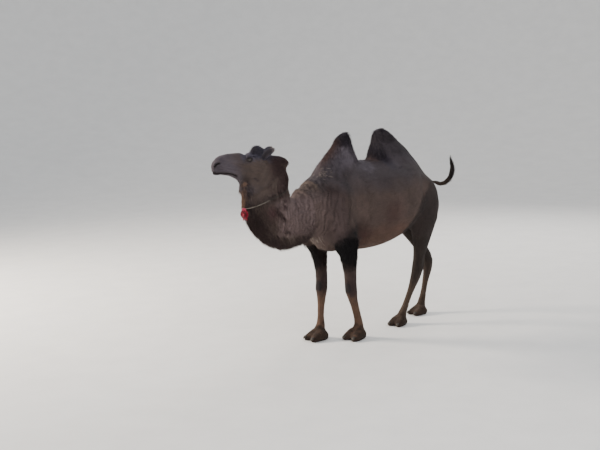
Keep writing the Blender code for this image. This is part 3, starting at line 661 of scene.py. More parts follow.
def lineDistance(flat, line):  # distance in a plane from each point to a broken line
    line = np.array(line, float)
    best = np.full(len(flat), 9.0)
    for a, b in zip(line[:-1], line[1:]):
        run = b - a
        t = np.clip(((flat - a) @ run) / (run @ run), 0, 1)
        best = np.minimum(best, np.linalg.norm(flat - (a + t[:, None] * run), axis=1))
    return best


def nearLine(flat, line, width):
    return hill(lineDistance(flat, line), 0, width)


def coatDepths(points, normals, bone):  # how far the coat stands off the skin, everywhere
    f, _, u = toBody(points).T
    b, _, hu = toHead(points).T
    head = headness(points)
    face = head * fall(b, 0.36, 0.46)
    depth = (0.006 + 0.010 * ramp(u, 0.55, 0.8)) * (1 - face) + 0.003 * face
    depth += 0.016 * head * ramp(hu, 0.095, 0.13) * ramp(b, 0.345, 0.375)  # crown
    depth += 0.012 * ramp(u, 1.72, 1.86) * fall(f, 0.1, 0.3) * (1 - head)  # tops of the humps
    depth += 0.010 * (onBones(bone, "neck") & (normals[:, 1] < -0.2)) * (1 - head)  # front of the neck
    depth = np.where(onBones(bone, "tail"), 0.006, depth)
    depth *= 0.3 + 0.7 * ramp(eyeDistance(points), 0.03, 0.06)
    return np.where(u < 0.10, 0.0015 + 0.02 * np.clip(u - 0.03, 0, 1), depth)


def dentLines(points, normals):  # all the strokes, as one amount along each point's normal
    body, heads, head = toBody(points), toHead(points), headness(points)
    left = body[:, 1]

    def strokes(flat, lines, where):
        return where * sum(depth * nearLine(flat, line, radius) for line, radius, depth in lines)

    side, front = heads[:, [0, 2]], heads[:, [1, 2]]
    moved = strokes(side, sculptLines.values(), ramp(np.abs(heads[:, 1]), 0.012, 0.03) * head)
    moved += strokes(front, frontLines.values(), fall(heads[:, 0], 0.022, 0.045) * head)
    side = body[:, [0, 2]]
    torso = (1 - head) * ramp(np.abs(left), 0.05, 0.12)
    for which, here in (("both", 1), ("left", left > 0), ("right", left < 0)):
        moved += strokes(side, bodyLines[which].values(), torso * here)
    for *stroke, place in legLines.values():
        here = np.exp(-((left - place) / 0.09) ** 4) * ramp(np.abs(normals[:, 0]), 0.3, 0.6)
        moved += strokes(side, [stroke], here)
    return moved


eyeLook = {
    "radius": 0.0225, "rings": 40, "columns": 48, "lidThickness": 0.0030,
    "halfWidth": 0.0195, "upperHeight": 0.0120, "lowerHeight": 0.0088,  # the opening
    "forward": 0.42, "up": 0.10, "tilt": -10.0,  # how the eye looks out of the side of the head
}


def eyeFrame(side):  # outwards, backwards and upwards from an eye
    sign = 1.0 if side == "left" else -1.0
    out = unit(headWay((-eyeLook["forward"], sign, eyeLook["up"])))
    back = headWay((1.0, 0, math.tan(math.radians(eyeLook["tilt"]))))
    back = unit(back - out * (back @ out))
    up = np.cross(back, out)
    return out, back, up * np.sign(up[2])


def lidEdge(x):  # half height of the eye opening above and below, at x along it
    share = np.clip(1 - (np.abs(x) / eyeLook["halfWidth"]) ** 2.2, 0, 1) ** 0.75
    return eyeLook["upperHeight"] * share, eyeLook["lowerHeight"] * share


def fitLids(points):  # skin drawn over the eyeball, and in behind it where the eye is open
    moved = points.copy()
    for side, centre in eyePlaces.items():
        out, back, up = eyeFrame(side)
        away = points - centre
        x, y, z = away @ back, away @ up, away @ out
        span = np.linalg.norm(away, axis=1)
        near = (span < 0.055) & (z > -0.012)
        above, below = lidEdge(x)
        inside = (y < above) & (y > -below) & (np.abs(x) < eyeLook["halfWidth"]) & (z > 0.004)
        lidRadius = eyeLook["radius"] + eyeLook["lidThickness"]
        pull = fall(np.hypot(x, y), 0.020, 0.040)
        reach = np.maximum(span, lidRadius) * (1 - pull) + lidRadius * pull
        ring = np.hypot(x / 1.25, y)
        reach -= 0.0050 * hill(ring, 0.0285, 0.006) * (z > 0)  # a moat round the lids
        reach += 0.0050 * hill(y - 0.25 * x, 0.029, 0.011) * hill(x, 0.0, 0.032) * (y > 0)  # the brow
        reach += 0.0022 * hill(ring, 0.0215, 0.004) * (z > 0)  # the thick of the lids
        reach -= 0.0016 * hill(y, 0.0175, 0.0022) * hill(x, 0.0, 0.018)  # the fold of the upper lid
        reach = np.where(inside, eyeLook["radius"] * 0.80, reach)  # behind the eyeball's surface
        moved = np.where(near[:, None], centre + unit(away) * reach[:, None], moved)
    return moved


roughJoins = [  # forward, left, up; full within, none beyond
    ((-1.30, 0.0, 1.43), 0.14, 0.28),  # the tail's root
    ((-1.25, 0.0, 1.04), 0.10, 0.22),
    ((-1.28, 0.0, 1.26), 0.12, 0.26),
    ((-1.18, 0.0, 1.44), 0.24, 0.38),
]


def smoothJoins(points, edges, corners):  # evens out the tail's root and the fork of the hind legs
    body = toBody(points)
    rump = fall(-body[:, 0], 1.41, 1.47)  # the free tail keeps its thickness
    shares = [rump * fall(np.linalg.norm(body - place, axis=1), near, far)
              for place, near, far in roughJoins]
    soft = fair(points, edges, 70)
    for share in shares:
        points = points + share[:, None] * (soft - points)
    # hollows round the tail's root are filled a little, nothing there is cut away
    normals = pointNormals(points, corners)
    gain = dot(fair(points, edges, 400) - points, normals)
    points = points + normals * (np.clip(gain, 0, 0.030) * shares[0])[:, None]
    return points + shares[0][:, None] * (fair(points, edges, 12) - points)


def crinkles(points):  # upright waves in the coat of the lower neck and shoulder, -1 to 1
    f, l, u = toBody(points).T
    phase = f + 0.14 * (u - 1.2) + 0.008 * mottle(points, 0.15, 3)
    wave = np.sin(2 * math.pi * phase / 0.034 + 0.6 * mottle(points, 0.08, 4))
    broken = 0.35 + 0.65 * ramp(mottle(points, 0.07, 8), -0.5, 0.5)
    there = band(f, 0.20, 0.70, 0.07) * band(u, 1.08, 1.52, 0.05) * (1 - headness(points))
    return wave * broken * there * (0.5 + 0.5 * ramp(l, -0.05, 0.10))


def makeSkin():  # the flesh remeshed as one, moved in by the coat's depth, then given its lines and creases
    obj, outline = joinedFlesh()
    remesh = obj.modifiers.new("oneSkin", "REMESH")
    remesh.mode = "VOXEL"
    remesh.voxel_size = skinLook["cell"]
    graph = bpy.context.evaluated_depsgraph_get()
    mesh = bpy.data.meshes.new_from_object(obj.evaluated_get(graph), depsgraph=graph)
    obj.modifiers.clear()
    obj.data = mesh
    points, edges, corners = meshArrays(mesh)
    points = fair(points, edges, skinLook["fairRounds"], (0.5, -0.52))
    mesh.vertices.foreach_set("co", points.ravel())
    for chooser in (wantsNeck, wantsHead, wantsFace, wantsLids):
        refine(mesh, chooser)
        points, edges, corners = meshArrays(mesh)
        soft = fair(points, edges, 4, (0.5, -0.52))
        chosen = chooser(points)
        points[chosen] = soft[chosen]
        mesh.vertices.foreach_set("co", points.ravel())
    normals = pointNormals(points, corners)
    bone = bones["bone"][nearestBone(points)]
    depth = coatDepths(points, normals, bone)
    offsets = np.empty(len(points))  # how far each point is outside the solids, or less than 0 inside
    for i, p in enumerate(points):
        spot, outwards, _, far = outline.find_nearest(Vector(p))
        offsets[i] = far if (Vector(p) - spot).dot(outwards) > 0 else -far
    correction = fair(-depth - offsets, edges, skinLook["settleRounds"])
    points = smoothJoins(points + normals * correction[:, None], edges, corners)
    points = fitLids(points)
    normals = pointNormals(points, corners)
    raised = dentLines(points, normals) + skinLook["crinkle"] * crinkles(points)
    points = points + normals * raised[:, None]
    points[:, 2] = np.maximum(points[:, 2], 0.0)
    mesh.vertices.foreach_set("co", points.ravel())
    mesh.update()
    mesh.polygons.foreach_set("use_smooth", np.ones(len(mesh.polygons), bool))
    print("skin:", len(points), "points,", len(corners), "triangles")
    return obj, points, edges, corners


skin, skinPoints, skinEdges, skinCorners = makeSkin()
skinNormals = pointNormals(skinPoints, skinCorners)
skinBone = nearestBone(skinPoints)


# markings: one rule of colour for skin and coat

# Some of these stand in for light: the back and hump colours are painted cool skylight, the belly a painted
# warm light from the ground, the two throat colours the beard painted sunlit and in shade, the crests' red
# partly painted sunlight, and shade and the slits' dark are painted shade.
coatColours = {  # linear colours
    "flank": (0.078, 0.055, 0.048), "back": (0.056, 0.046, 0.050), "belly": (0.096, 0.056, 0.043),
    "bellyRed": (0.066, 0.031, 0.027), "shade": (0.032, 0.021, 0.020), "neck": (0.138, 0.098, 0.094),
    "neckRed": (0.064, 0.032, 0.034), "underNeck": (0.034, 0.021, 0.020), "nape": (0.042, 0.025, 0.025),
    "throat": (0.185, 0.110, 0.077), "throatInShade": (0.034, 0.025, 0.028), "cheek": (0.086, 0.063, 0.054),
    "muzzle": (0.083, 0.069, 0.080), "crown": (0.068, 0.061, 0.079), "hump": (0.098, 0.082, 0.095),
    "crest": (0.033, 0.027, 0.034), "crestRedSunlit": (0.070, 0.036, 0.027), "thigh": (0.036, 0.027, 0.025),
    "rumpRed": (0.056, 0.033, 0.028), "forearm": (0.007, 0.006, 0.007), "legBand": (0.048, 0.033, 0.029),
    "knee": (0.038, 0.025, 0.024), "cannon": (0.110, 0.064, 0.044), "hock": (0.030, 0.023, 0.020),
    "hindCannon": (0.068, 0.047, 0.035), "foot": (0.038, 0.025, 0.019), "tail": (0.050, 0.034, 0.026),
    "tailTip": (0.020, 0.015, 0.014), "bare": (0.032, 0.026, 0.027), "slitShade": (0.008, 0.007, 0.007),
    "pale": (0.40, 0.33, 0.27), "humpRear": (0.050, 0.041, 0.046),
}


collarLook = {
    "centre": (0.735, -0.055, 1.425), "rise": 0.36,  # the plane of the cord: a place in it, and its slope
    "radius": 0.0034, "points": 72, "rings": 960, "sides": 10, "turns": 90,
    "cordColour": (0.18, 0.155, 0.13),
    "drop": 0.045, "ahead": 0.016, "turn": 14.0,  # the rosette under the front of the cord
    "red": (0.24, 0.003, 0.020), "deepRed": (0.10, 0.002, 0.010), "pink": (0.36, 0.035, 0.080),
    "ribbonPoints": 7,  # across the ribbon
    # rings of loops: how many, first angle, place ahead, length, height, half width, colour, lean
    "loops": [(9, 0.2, 0.000, 0.042, 0.018, 0.0125, "red", 0.000),
              (7, 0.5, 0.012, 0.032, 0.018, 0.0110, "deepRed", 0.004),
              (5, 0.0, 0.024, 0.020, 0.014, 0.0080, "red", 0.006)],
    "pinkAngles": (1.15, 1.65, 2.15), "ends": [(-0.012, 0.058), (0.012, 0.052)],  # shift and length
}


def dorsal(normals, boneIndex):  # 1 where the surface faces the nape or back, -1 at the throat or belly
    return dot(normals, bones["top"][boneIndex])


def overCord(points):  # height above the plane of the neck cord
    f, _, u = toBody(points).T
    forward, _, height = collarLook["centre"]
    return u - height + collarLook["rise"] * (f - forward)


def markings(points, normals, boneIndex):
    # f, l, u: forward, left and up on the body; b, hu: behind the nose tip and up on the head
    body = toBody(points)
    f, l, u = body.T
    b, _, hu = toHead(points).T
    head = headness(points)
    bone = bones["bone"][boneIndex]
    up = dorsal(normals, boneIndex)
    aside = np.abs(l)
    neck = onBones(bone, "neck") * (1 - head)
    fore = onBones(bone, "foreLeft", "foreRight") * 1.0
    hind = onBones(bone, "hindLeft", "hindRight") * 1.0
    tail = onBones(bone, "tail") * 1.0
    torso = (1 - head) * (1 - tail)
    rough = 0.5 * mottle(points, 0.11, 12) + 0.5 * mottle(points, 0.035, 13)
    uneven = 0.025 * mottle(points, 0.25, 11) + 0.012 * rough
    ragged = uneven + 0.020 * mottle(points, 0.07, 14) + 0.010 * mottle(points, 0.025, 15)
    ahead = normals @ headWay((-1, 0, 0))  # 1 where it faces where the head does
    colour = np.tile(coatColours["flank"], (len(points), 1)).astype(float)

    def over(name, amount):
        nonlocal colour
        amount = np.clip(amount, 0, 1)[:, None]
        colour = colour * (1 - amount) + np.array(coatColours[name]) * amount

    def spot(forward, up, width):  # a soft round patch on both sides of the body
        return np.exp(-((f - forward) ** 2 + (u - up) ** 2) / width ** 2) * torso

    # painted light: the upper body darker and bluish, as lit only by the sky above
    over("back", ramp(u + uneven, 1.34, 1.56) * 0.9)
    # painted light: the lower body warm, as from light bounced off the ground
    over("belly", ramp(-(u + uneven), -1.16, -0.94) * fall(f, -0.05, 0.10))
    reds = 0.75 * spot(-0.18, 1.00, 0.07) + 0.45 * spot(-0.51, 1.17, 0.13)
    over("bellyRed", reds * ramp(aside, 0.10, 0.20))
    # painted shade: a dark upright band down the shoulder
    over("shade", hill(f - 0.10 * (u - 1.2), 0.12, 0.10) * band(u + uneven, 1.00, 1.44, 0.08) * 0.9)
    # painted shade on the lower body where the forelegs join it
    over("shade", ramp(-(u + uneven), -1.20, -1.03) * hill(f, 0.01, 0.20) * ramp(aside, 0.10, 0.18))
    # humps: bluish as painted skylight, dark at the crests and on the faces that look at each other, reddish
    # on the front edges where painted sunlight brightens the hair's own red
    hump = ramp(u + uneven, 1.56, 1.70) * torso * (f < 0.3)
    front = ramp(f, -0.46, -0.42)
    over("hump", hump)
    over("humpRear", hump * (1 - front))
    behindFront = ramp(-f + 1.5 * uneven, 0.18, 0.26) * ramp(u + uneven, 1.66, 1.78)
    beforeRear = ramp(f + 1.5 * uneven, -0.70, -0.62) * 0.95
    over("crest", hump * front * np.maximum(ramp(u + 1.5 * uneven, 1.84, 1.92), behindFront))
    over("crest", hump * (1 - front) * np.maximum(ramp(u + 1.5 * uneven, 1.88, 1.95), beforeRear))
    # painted sunlight on the hair's red along the front edges of both humps
    over("crestRedSunlit", hump * front * hill(l, 0.02, 0.045) * ramp(f, -0.14, -0.06) * 0.8)
    over("crestRedSunlit", hump * (1 - front) * ramp(f, -0.60, -0.54) * 0.5)
    # neck and head
    over("neck", neck * band(f, 0.26, 0.66, 0.08) * band(u, 1.10, 1.46, 0.05) * 0.9)
    over("neck", torso * band(f, 0.10, 0.40, 0.08) * band(u, 1.00, 1.36, 0.10) * 0.35)
    over("neckRed", 0.8 * spot(0.75, 1.30, 0.055) * ramp(np.abs(l + 0.04), 0.04, 0.08))
    over("cheek", head + neck * ramp(u, 1.36, 1.50))
    over("muzzle", head * fall(b + 0.5 * hu + 1.5 * uneven, 0.12, 0.40))
    over("crown", head * ramp(hu + 0.8 * uneven, 0.030, 0.078) * ramp(b + 0.4 * hu + uneven, 0.27, 0.36))
    over("crown", head * ramp(hu, 0.10, 0.14) * ramp(b, 0.34, 0.38))
    # painted shade in the hollow of the cheek behind the mouth corner
    over("shade", head * np.exp(-((b - 0.30) ** 2 + (hu + 0.10) ** 2) / 0.035 ** 2) * 0.7)
    neckish = np.clip(neck + head * ramp(b, 0.46, 0.56), 0, 1)
    over("nape", neckish * ramp(up + 3 * uneven + 0.35 * (1 - head) * ramp(u, 1.36, 1.48), 0.0, 0.42)
         * ramp(overCord(points) + 1.5 * ragged, -0.07, 0.0) * 0.95)
    throatward = np.clip(neck + head, 0, 1) * band(b, 0.28, 0.50, 0.08) * band(u, 1.34, 1.60, 0.06)
    throatward *= ramp(-hu + 1.5 * ragged, 0.17, 0.23)
    # painted light and shade on the throat beard: dark as in shade where it turns away from where the head
    # looks, sunlit orange where it faces that way
    over("throatInShade", throatward * ramp(ahead + 4 * ragged, 0.10, 0.50) * 0.8)
    over("throat", throatward * ramp(ahead + 3 * ragged, 0.52, 0.84) * 0.9)
    fold = lineDistance(body[:, [0, 2]], [(0.82, 1.15), (0.76, 1.10), (0.66, 1.075), (0.57, 1.065)])
    over("pale", neck * hill(fold + 0.3 * ragged, 0, 0.010) * ramp(aside, 0.02, 0.06) * 0.22)
    over("underNeck", neck * ramp(-up + 1.5 * uneven, 0.30, 0.62) * fall(u, 1.26, 1.38))
    # hindquarters, tail and legs
    behindFlank = ramp(-(f + 0.75 * (u - 1.14)) + uneven, 0.84, 0.90)
    over("thigh", torso * ramp(-f + uneven, 0.98, 1.20) * (u < 1.7) * 0.85)
    over("thigh", hind + onBones(bone, "trunk") * behindFlank * fall(u, 1.28, 1.50))
    over("rumpRed", torso * ramp(-f + uneven, 1.20, 1.32) * band(u, 0.98, 1.42, 0.08) * 0.7)
    over("hock", hind * band(u + uneven, 0.50, 0.80, 0.10))
    over("hindCannon", hind * fall(u + uneven, 0.34, 0.50))
    over("forearm", fore * band(u + ragged, 0.70, 0.97, 0.06) * np.where(l > 0, 1.0, 0.7))
    # painted shade where the foreleg meets the body, in the forearm's dark
    elbow = hill(f + 0.3 * (u - 1), 0.0, 0.12) * band(u + uneven, 0.94, 1.09, 0.07) * ramp(aside, 0.12, 0.20)
    over("forearm", elbow * 0.5)
    over("legBand", fore * fall(u + ragged, 0.64, 0.73))
    over("knee", fore * band(u + 0.8 * ragged, 0.46, 0.57, 0.05))
    over("cannon", fore * fall(u + 0.9 * ragged, 0.35, 0.50))
    over("foot", (fore + hind) * fall(u + 0.9 * ragged, 0.06, 0.17))
    over("tail", tail)
    over("tailTip", tail * ramp(-f + uneven, 1.52, 1.64))
    colour *= (1 + 0.06 * mottle(points, 0.35, 5) + 0.05 * rough)[:, None]
    # painted light and shade on the crinkles: lighter on the raised waves, darker in the troughs between
    colour *= (1 + 0.24 * crinkles(points))[:, None]
    return np.clip(colour, 0.004, 1)


def openings(points, mouth, lips, nostril, front):  # 1 along the mouth line and nostrils, about so wide
    heads = toHead(points)
    side = heads[:, [0, 2]]
    return headness(points) * np.maximum.reduce([
        nearLine(side, sculptLines["mouth"][0], mouth), nearLine(side, sculptLines["nostril"][0], nostril),
        nearLine(heads[:, [1, 2]], frontLines["lips"][0], lips) * (heads[:, 0] < front)])


def barePatches(points, normals):  # 1 where the skin is bare: lips, lids, nostrils, pads
    f, l, u = toBody(points).T
    bare = np.maximum(openings(points, 0.011, 0.012, 0.011, 0.04),
                      headness(points) * fall(eyeDistance(points), 0.026, 0.034))
    kneePads = band(u, 0.475, 0.545, 0.015) * ramp(-normals[:, 1], 0.55, 0.8) * (f > -0.3)
    chestPad = hill(f, 0.03, 0.10) * hill(l, 0, 0.07) * ramp(-normals[:, 2], 0.5, 0.8)
    chestPad *= (u > 0.7) & (u < 0.92)
    soles = ramp(-normals[:, 2], 0.5, 0.9) * (u < 0.03)
    return np.clip(bare + kneePads + chestPad + soles, 0, 1)


skinMarks = markings(skinPoints, skinNormals, skinBone)
skinBare = barePatches(skinPoints, skinNormals)
bareColour = np.array(coatColours["bare"]) * (0.6 + 0.4 * ramp(skinPoints[:, 2], 0.3, 1.2))[:, None]
skinColour = skinMarks * 0.85 * (1 - skinBare[:, None]) + bareColour * skinBare[:, None]
slitAmount = openings(skinPoints, 0.0034, 0.0034, 0.0055, 0.03)[:, None]  # painted shade inside the mouth line and nostrils
skinColour = skinColour * (1 - slitAmount) + np.array(coatColours["slitShade"]) * slitAmount


def lieOfCoat():  # the way the hair lies at each point of the skin, smoothed and laid flat
    bone = bones["bone"][skinBone]
    onHump = onBones(bone, "humpFront", "humpRear")
    sag = np.select([onBones(bone, "neck"), onBones(bone, "head"), onBones(bone, "tail"), onHump],
                    [0.75, 0.25 + 0.6 * ramp(toHead(skinPoints)[:, 0], 0.40, 0.60), 0.0, 0.6], 0.30)
    lie = bones["along"][skinBone] + sag[:, None] * (0, 0, -1)
    lie = lie + 0.5 * onHump[:, None] * (0, 1, 0)  # backwards
    lie = unit(fair(unit(lie), skinEdges, 36))
    return unit(lie - skinNormals * dot(lie, skinNormals)[:, None])


skinLie = lieOfCoat()
paint(skin, "coat", skinColour)
measure(skin, "strands", cornerStrands(skin.data, skinPoints, skinBone), "CORNER")
wear(skin, "skin")
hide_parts(*fleshNodes)
print("skin painted")


# the coat: tufts of solid mesh rooted in the skin

def triangleAreas(points, corners):
    a, b, c = (points[corner] for corner in corners.T)
    return 0.5 * np.linalg.norm(np.cross(b - a, c - a), axis=1)


skinAreas = triangleAreas(skinPoints, skinCorners)


def scatter(count, weight, seed):  # chance roots on the skin, as often as weight says
    chance = np.random.default_rng(seed)
    share = np.cumsum(skinAreas * weight[skinCorners].mean(1))
    picked = np.searchsorted(share, chance.uniform(0, share[-1], count))
    picked = np.minimum(picked, len(skinCorners) - 1)
    a, b = chance.uniform(size=(2, count, 1))
    fold = a + b > 1
    a, b = np.where(fold, 1 - a, a), np.where(fold, 1 - b, b)
    corner = skinCorners[picked]

    def between(values):
        first, second, third = (values[column] for column in corner.T)
        return first * (1 - a - b) + second * a + third * b

    return {"root": between(skinPoints), "normal": unit(between(skinNormals)), "lie": unit(between(skinLie)),
            "colour": between(skinMarks), "bone": skinBone[corner[:, 0]], "chance": chance}


def unwrap(root, boneIndex):  # a place in the unit square: round the part, and along it
    _, across, top = strandSpace(root, boneIndex).T
    turn = np.arctan2(across, top)
    number = bones["bone"][boneIndex]
    columns, rows, margin = 4, 3, 0.04
    u = number % columns + margin + (1 - 2 * margin) * (turn / (2 * math.pi) + 0.5)
    v = number // columns + margin + (1 - 2 * margin) * np.clip(bones["travelled"][boneIndex], 0, 1)
    return np.stack([u / columns, v / rows], 1)


coatTotals = []


tuftLook = {  # what a coat has unless it says otherwise
    "slot": "coat", "uneven": 0.16, "rootTone": 0.72, "tipTone": 1.25,
    "rings": 1, "sides": 3, "flat": 0.45, "rootWidth": 0.75, "tipWidth": 0.12, "sunk": 0.0015,
    "stray": 0.2, "settle": 0.35, "droop": 0.0, "curl": 0.0, "turns": 0.8,
}


def tuftPaths(roots, look, length):  # a bent path for each tuft, from its root to its tip
    # It leaves the skin at the lift angle, turns towards the ground by droop, back to the lie of the
    # coat by settle, and swings from side to side by curl.
    chance, normal, lie = roots["chance"], roots["normal"], roots["lie"]
    count, rings = len(length), look["rings"]
    lie = unit(lie + np.cross(normal, lie) * chance.normal(0, look["stray"], count)[:, None])
    across = np.cross(normal, lie)
    lift = np.radians(chance.uniform(*look["lift"], count))[:, None]
    heading = lie * np.cos(lift) + normal * np.sin(lift)
    start = chance.uniform(0, 2 * math.pi, count)[:, None]
    t = np.linspace(0, 1, rings + 1)
    path = [roots["root"] - normal * look["sunk"]]
    for share in t[1:]:
        settle = look["settle"] * share
        way = unit(heading * (1 - settle) + lie * settle + look["droop"] * share * np.array((0, 0, -1)))
        path.append(path[-1] + way * (length / rings)[:, None])
    path = np.array(path)
    t = t[:, None, None]
    angle = start + 2 * math.pi * look["turns"] * t
    size = look["curl"] * length[:, None] * ramp(t, 0.0, 0.35)
    return path + size * (np.cos(angle) * across + 0.6 * np.sin(angle) * normal)


def growCoat(name, roots, look):  # each tuft is a closed, tapering strand
    look = {**tuftLook, **look}
    chance, count = roots["chance"], len(roots["root"])
    rings, sides = look["rings"], look["sides"]
    length = chance.uniform(*look["length"], count) * look.get("reach", 1.0)
    width = look["width"] * chance.uniform(0.7, 1.25, count)
    path = tuftPaths(roots, look, length)
    run = unit(np.gradient(path, axis=0))
    wide = unit(np.cross(run, roots["normal"]) + 1e-6)
    thick = np.cross(wide, run)
    t = np.linspace(0, 1, rings + 1)[:-1]
    taper = np.interp(t, [0, 0.35, 1], [look["rootWidth"], 1.0, look["tipWidth"]])
    corner = circle(sides) + math.pi / 2
    half = (0.5 * width * taper[:, None])[:, :, None, None]
    ring = path[:-1, :, None] + half * (wide[:-1, :, None] * np.cos(corner)[:, None]
                                        + thick[:-1, :, None] * np.sin(corner)[:, None] * look["flat"])
    ring = ring.transpose(1, 0, 2, 3).reshape(count, rings * sides, 3)
    points = np.concatenate([ring, path[-1][:, None]], axis=1)
    points[..., 2] = np.maximum(points[..., 2], 0.001)
    each = rings * sides + 1
    j = np.arange(sides)
    k = (j + 1) % sides
    faces = []
    for low in range(0, (rings - 1) * sides, sides):
        high = low + sides
        faces += [np.stack([low + j, low + k, high + k], 1), np.stack([low + j, high + k, high + j], 1)]
    base = (rings - 1) * sides
    faces += [np.stack([base + j, base + k, np.full(sides, each - 1)], 1), np.array([[0, 2, 1]])]
    faces = (np.concatenate(faces) + (np.arange(count) * each)[:, None, None]).reshape(-1, 3)
    obj = makeObject(name, points.reshape(-1, 3), faces)
    # colour: chance light and dark tufts, darker roots, tips bleached by the sun
    tone = np.exp(chance.normal(0, look["uneven"], count))[:, None, None]
    alongTuft = np.append(np.repeat(t, sides), 1.0)
    fade = look["rootTone"] + (look["tipTone"] - look["rootTone"]) * alongTuft
    paint(obj, "coat", np.clip(roots["colour"][:, None] * tone * fade[:, None], 0.003, 0.8).reshape(-1, 3))
    patch = np.stack([np.append(np.tile(j / sides, rings), 0.5), alongTuft], 1) - 0.5
    places = unwrap(roots["root"], roots["bone"])[:, None] + 0.003 * patch
    unroll(obj, "OFBake", places.reshape(-1, 2), faces)
    wear(obj, "hair")
    coatTotals.append(len(faces))
    print(f"{name}: {count} tufts, {len(faces)} triangles")


forwardAt, leftAt, upAt = toBody(skinPoints).T
onHead = headness(skinPoints)
boneAt = bones["bone"][skinBone]
facesUp = dorsal(skinNormals, skinBone)
facesAhead = skinNormals @ headWay((-1, 0, 0))
notBare = 1 - skinBare
onNeck = onBones(boneAt, "neck") * (1 - onHead)
onTorso = onBones(boneAt, "trunk", "humpFront", "humpRear") * 1.0
onHumps = onTorso * ramp(upAt + 0.03 * mottle(skinPoints, 0.10, 17), 1.54, 1.72) * (forwardAt < 0.25)
onTail = onBones(boneAt, "tail") * 1.0
onFore = onBones(boneAt, "foreLeft", "foreRight") * 1.0
onHind = onBones(boneAt, "hindLeft", "hindRight") * 1.0
eyeGap = eyeDistance(skinPoints)
behindAt, _, headUpAt = toHead(skinPoints).T


shortTufts = {"rootTone": 0.88, "tipTone": 1.12}  # short hair blends into the skin under it
flankTufts = {**shortTufts, "count": 46000, "length": (0.020, 0.038), "width": 0.0035, "lift": (2, 7),
              "uneven": 0.14}
longTufts = {"rings": 3, "curl": 0.05, "uneven": 0.22}
coats = {
    # seed and number of tufts, length and width in metres, lift in degrees, tint: a colour mixed in
    "coatFace": {**shortTufts, "seed": 21, "count": 24000, "length": (0.006, 0.012), "width": 0.0013,
                 "lift": (5, 15), "uneven": 0.14},
    "coatCheeks": {**shortTufts, "seed": 22, "count": 18000, "length": (0.013, 0.024), "width": 0.0018,
                   "lift": (5, 16), "uneven": 0.15},
    "coatNeck": {**shortTufts, "seed": 23, "count": 26000, "length": (0.020, 0.036), "width": 0.0030,
                 "lift": (5, 16)},
    "coatFlankLeft": {**flankTufts, "seed": 24}, "coatFlankRight": {**flankTufts, "seed": 25},
    "coatHumps": {**shortTufts, "seed": 26, "count": 18000, "length": (0.022, 0.042), "width": 0.0035,
                  "lift": (3, 12), "slot": "dark_hair"},
    "coatForeLegs": {**shortTufts, "seed": 27, "count": 20000, "length": (0.012, 0.022), "width": 0.0022,
                     "lift": (4, 14)},
    "coatHindLegs": {**shortTufts, "seed": 28, "count": 22000, "length": (0.012, 0.022), "width": 0.0024,
                     "lift": (4, 14)},
    "coatCrown": {**longTufts, "seed": 31, "count": 4400, "length": (0.026, 0.052), "width": 0.0030,
                  "lift": (6, 24), "stray": 0.35, "droop": 0.3, "tint": "crown"},
    "coatForelock": {**longTufts, "seed": 32, "count": 600, "length": (0.022, 0.042), "width": 0.0028,
                     "lift": (12, 36), "rings": 4, "curl": 0.06, "stray": 0.4, "droop": 0.25,
                     "tint": "crest"},
    "coatNape": {**longTufts, "seed": 33, "count": 4900, "length": (0.035, 0.075), "width": 0.0034,
                 "lift": (7, 24), "stray": 0.25, "droop": 0.5},
    "coatOverCord": {**longTufts, "seed": 41, "count": 520, "length": (0.040, 0.066), "width": 0.0034,
                     "lift": (20, 36), "rings": 4, "stray": 0.25, "droop": 0.9},
    "coatThroat": {**longTufts, "seed": 34, "count": 5000, "length": (0.028, 0.062), "width": 0.0028,
                   "lift": (10, 36), "rings": 4, "curl": 0.045, "stray": 0.4, "droop": 0.7, "uneven": 0.30,
                   "tipTone": 1.5},
    "coatUnderNeck": {**longTufts, "seed": 35, "count": 6200, "length": (0.035, 0.070), "width": 0.0034,
                      "lift": (7, 26), "turns": 0.9, "stray": 0.3, "droop": 0.45, "uneven": 0.2},
    "coatCrests": {**longTufts, "seed": 36, "count": 5200, "length": (0.032, 0.070), "width": 0.0034,
                   "lift": (7, 32), "curl": 0.06, "turns": 0.9, "stray": 0.3, "droop": 0.35,
                   "slot": "dark_hair"},
    "coatForearms": {**longTufts, "seed": 37, "count": 5000, "length": (0.030, 0.065), "width": 0.0032,
                     "lift": (7, 24), "turns": 0.9, "stray": 0.22, "droop": 0.4, "uneven": 0.2,
                     "tint": "forearm"},
    "coatTail": {**longTufts, "seed": 38, "count": 2600, "length": (0.030, 0.070), "width": 0.0028,
                 "lift": (3, 13), "curl": 0.04, "turns": 0.9, "stray": 0.15, "uneven": 0.2,
                 "slot": "dark_hair"},
    "coatPaleLocks": {**longTufts, "seed": 39, "count": 150, "length": (0.026, 0.052), "width": 0.0024,
                      "lift": (8, 30), "rings": 4, "stray": 0.5, "droop": 0.6, "uneven": 0.3,
                      "tint": "pale"},
    "whiskers": {"seed": 40, "count": 220, "length": (0.014, 0.034), "width": 0.0008, "lift": (25, 55),
                 "rings": 2, "stray": 0.4, "droop": 0.25, "uneven": 0.2, "tint": "crest"},
    "coatBrows": {"seed": 42, "count": 520, "length": (0.012, 0.024), "width": 0.0017, "lift": (10, 34),
                  "rings": 3, "stray": 0.3, "droop": 0.4, "uneven": 0.2, "tint": "crown"},
}
tintShare = 0.6


def plant(name, weight, reach=None, lie=None):  # roots where weight says; reach and lie: changes at the roots
    look = coats[name]
    roots = scatter(look["count"], np.clip(weight, 0, None), look["seed"])
    if "tint" in look:
        roots["colour"] = roots["colour"] * (1 - tintShare) + np.array(coatColours[look["tint"]]) * tintShare
    if lie is not None:
        roots["lie"] = lie(roots)
    if reach is not None:
        look = {**look, "reach": reach(roots["root"])}
    growCoat(name, roots, look)


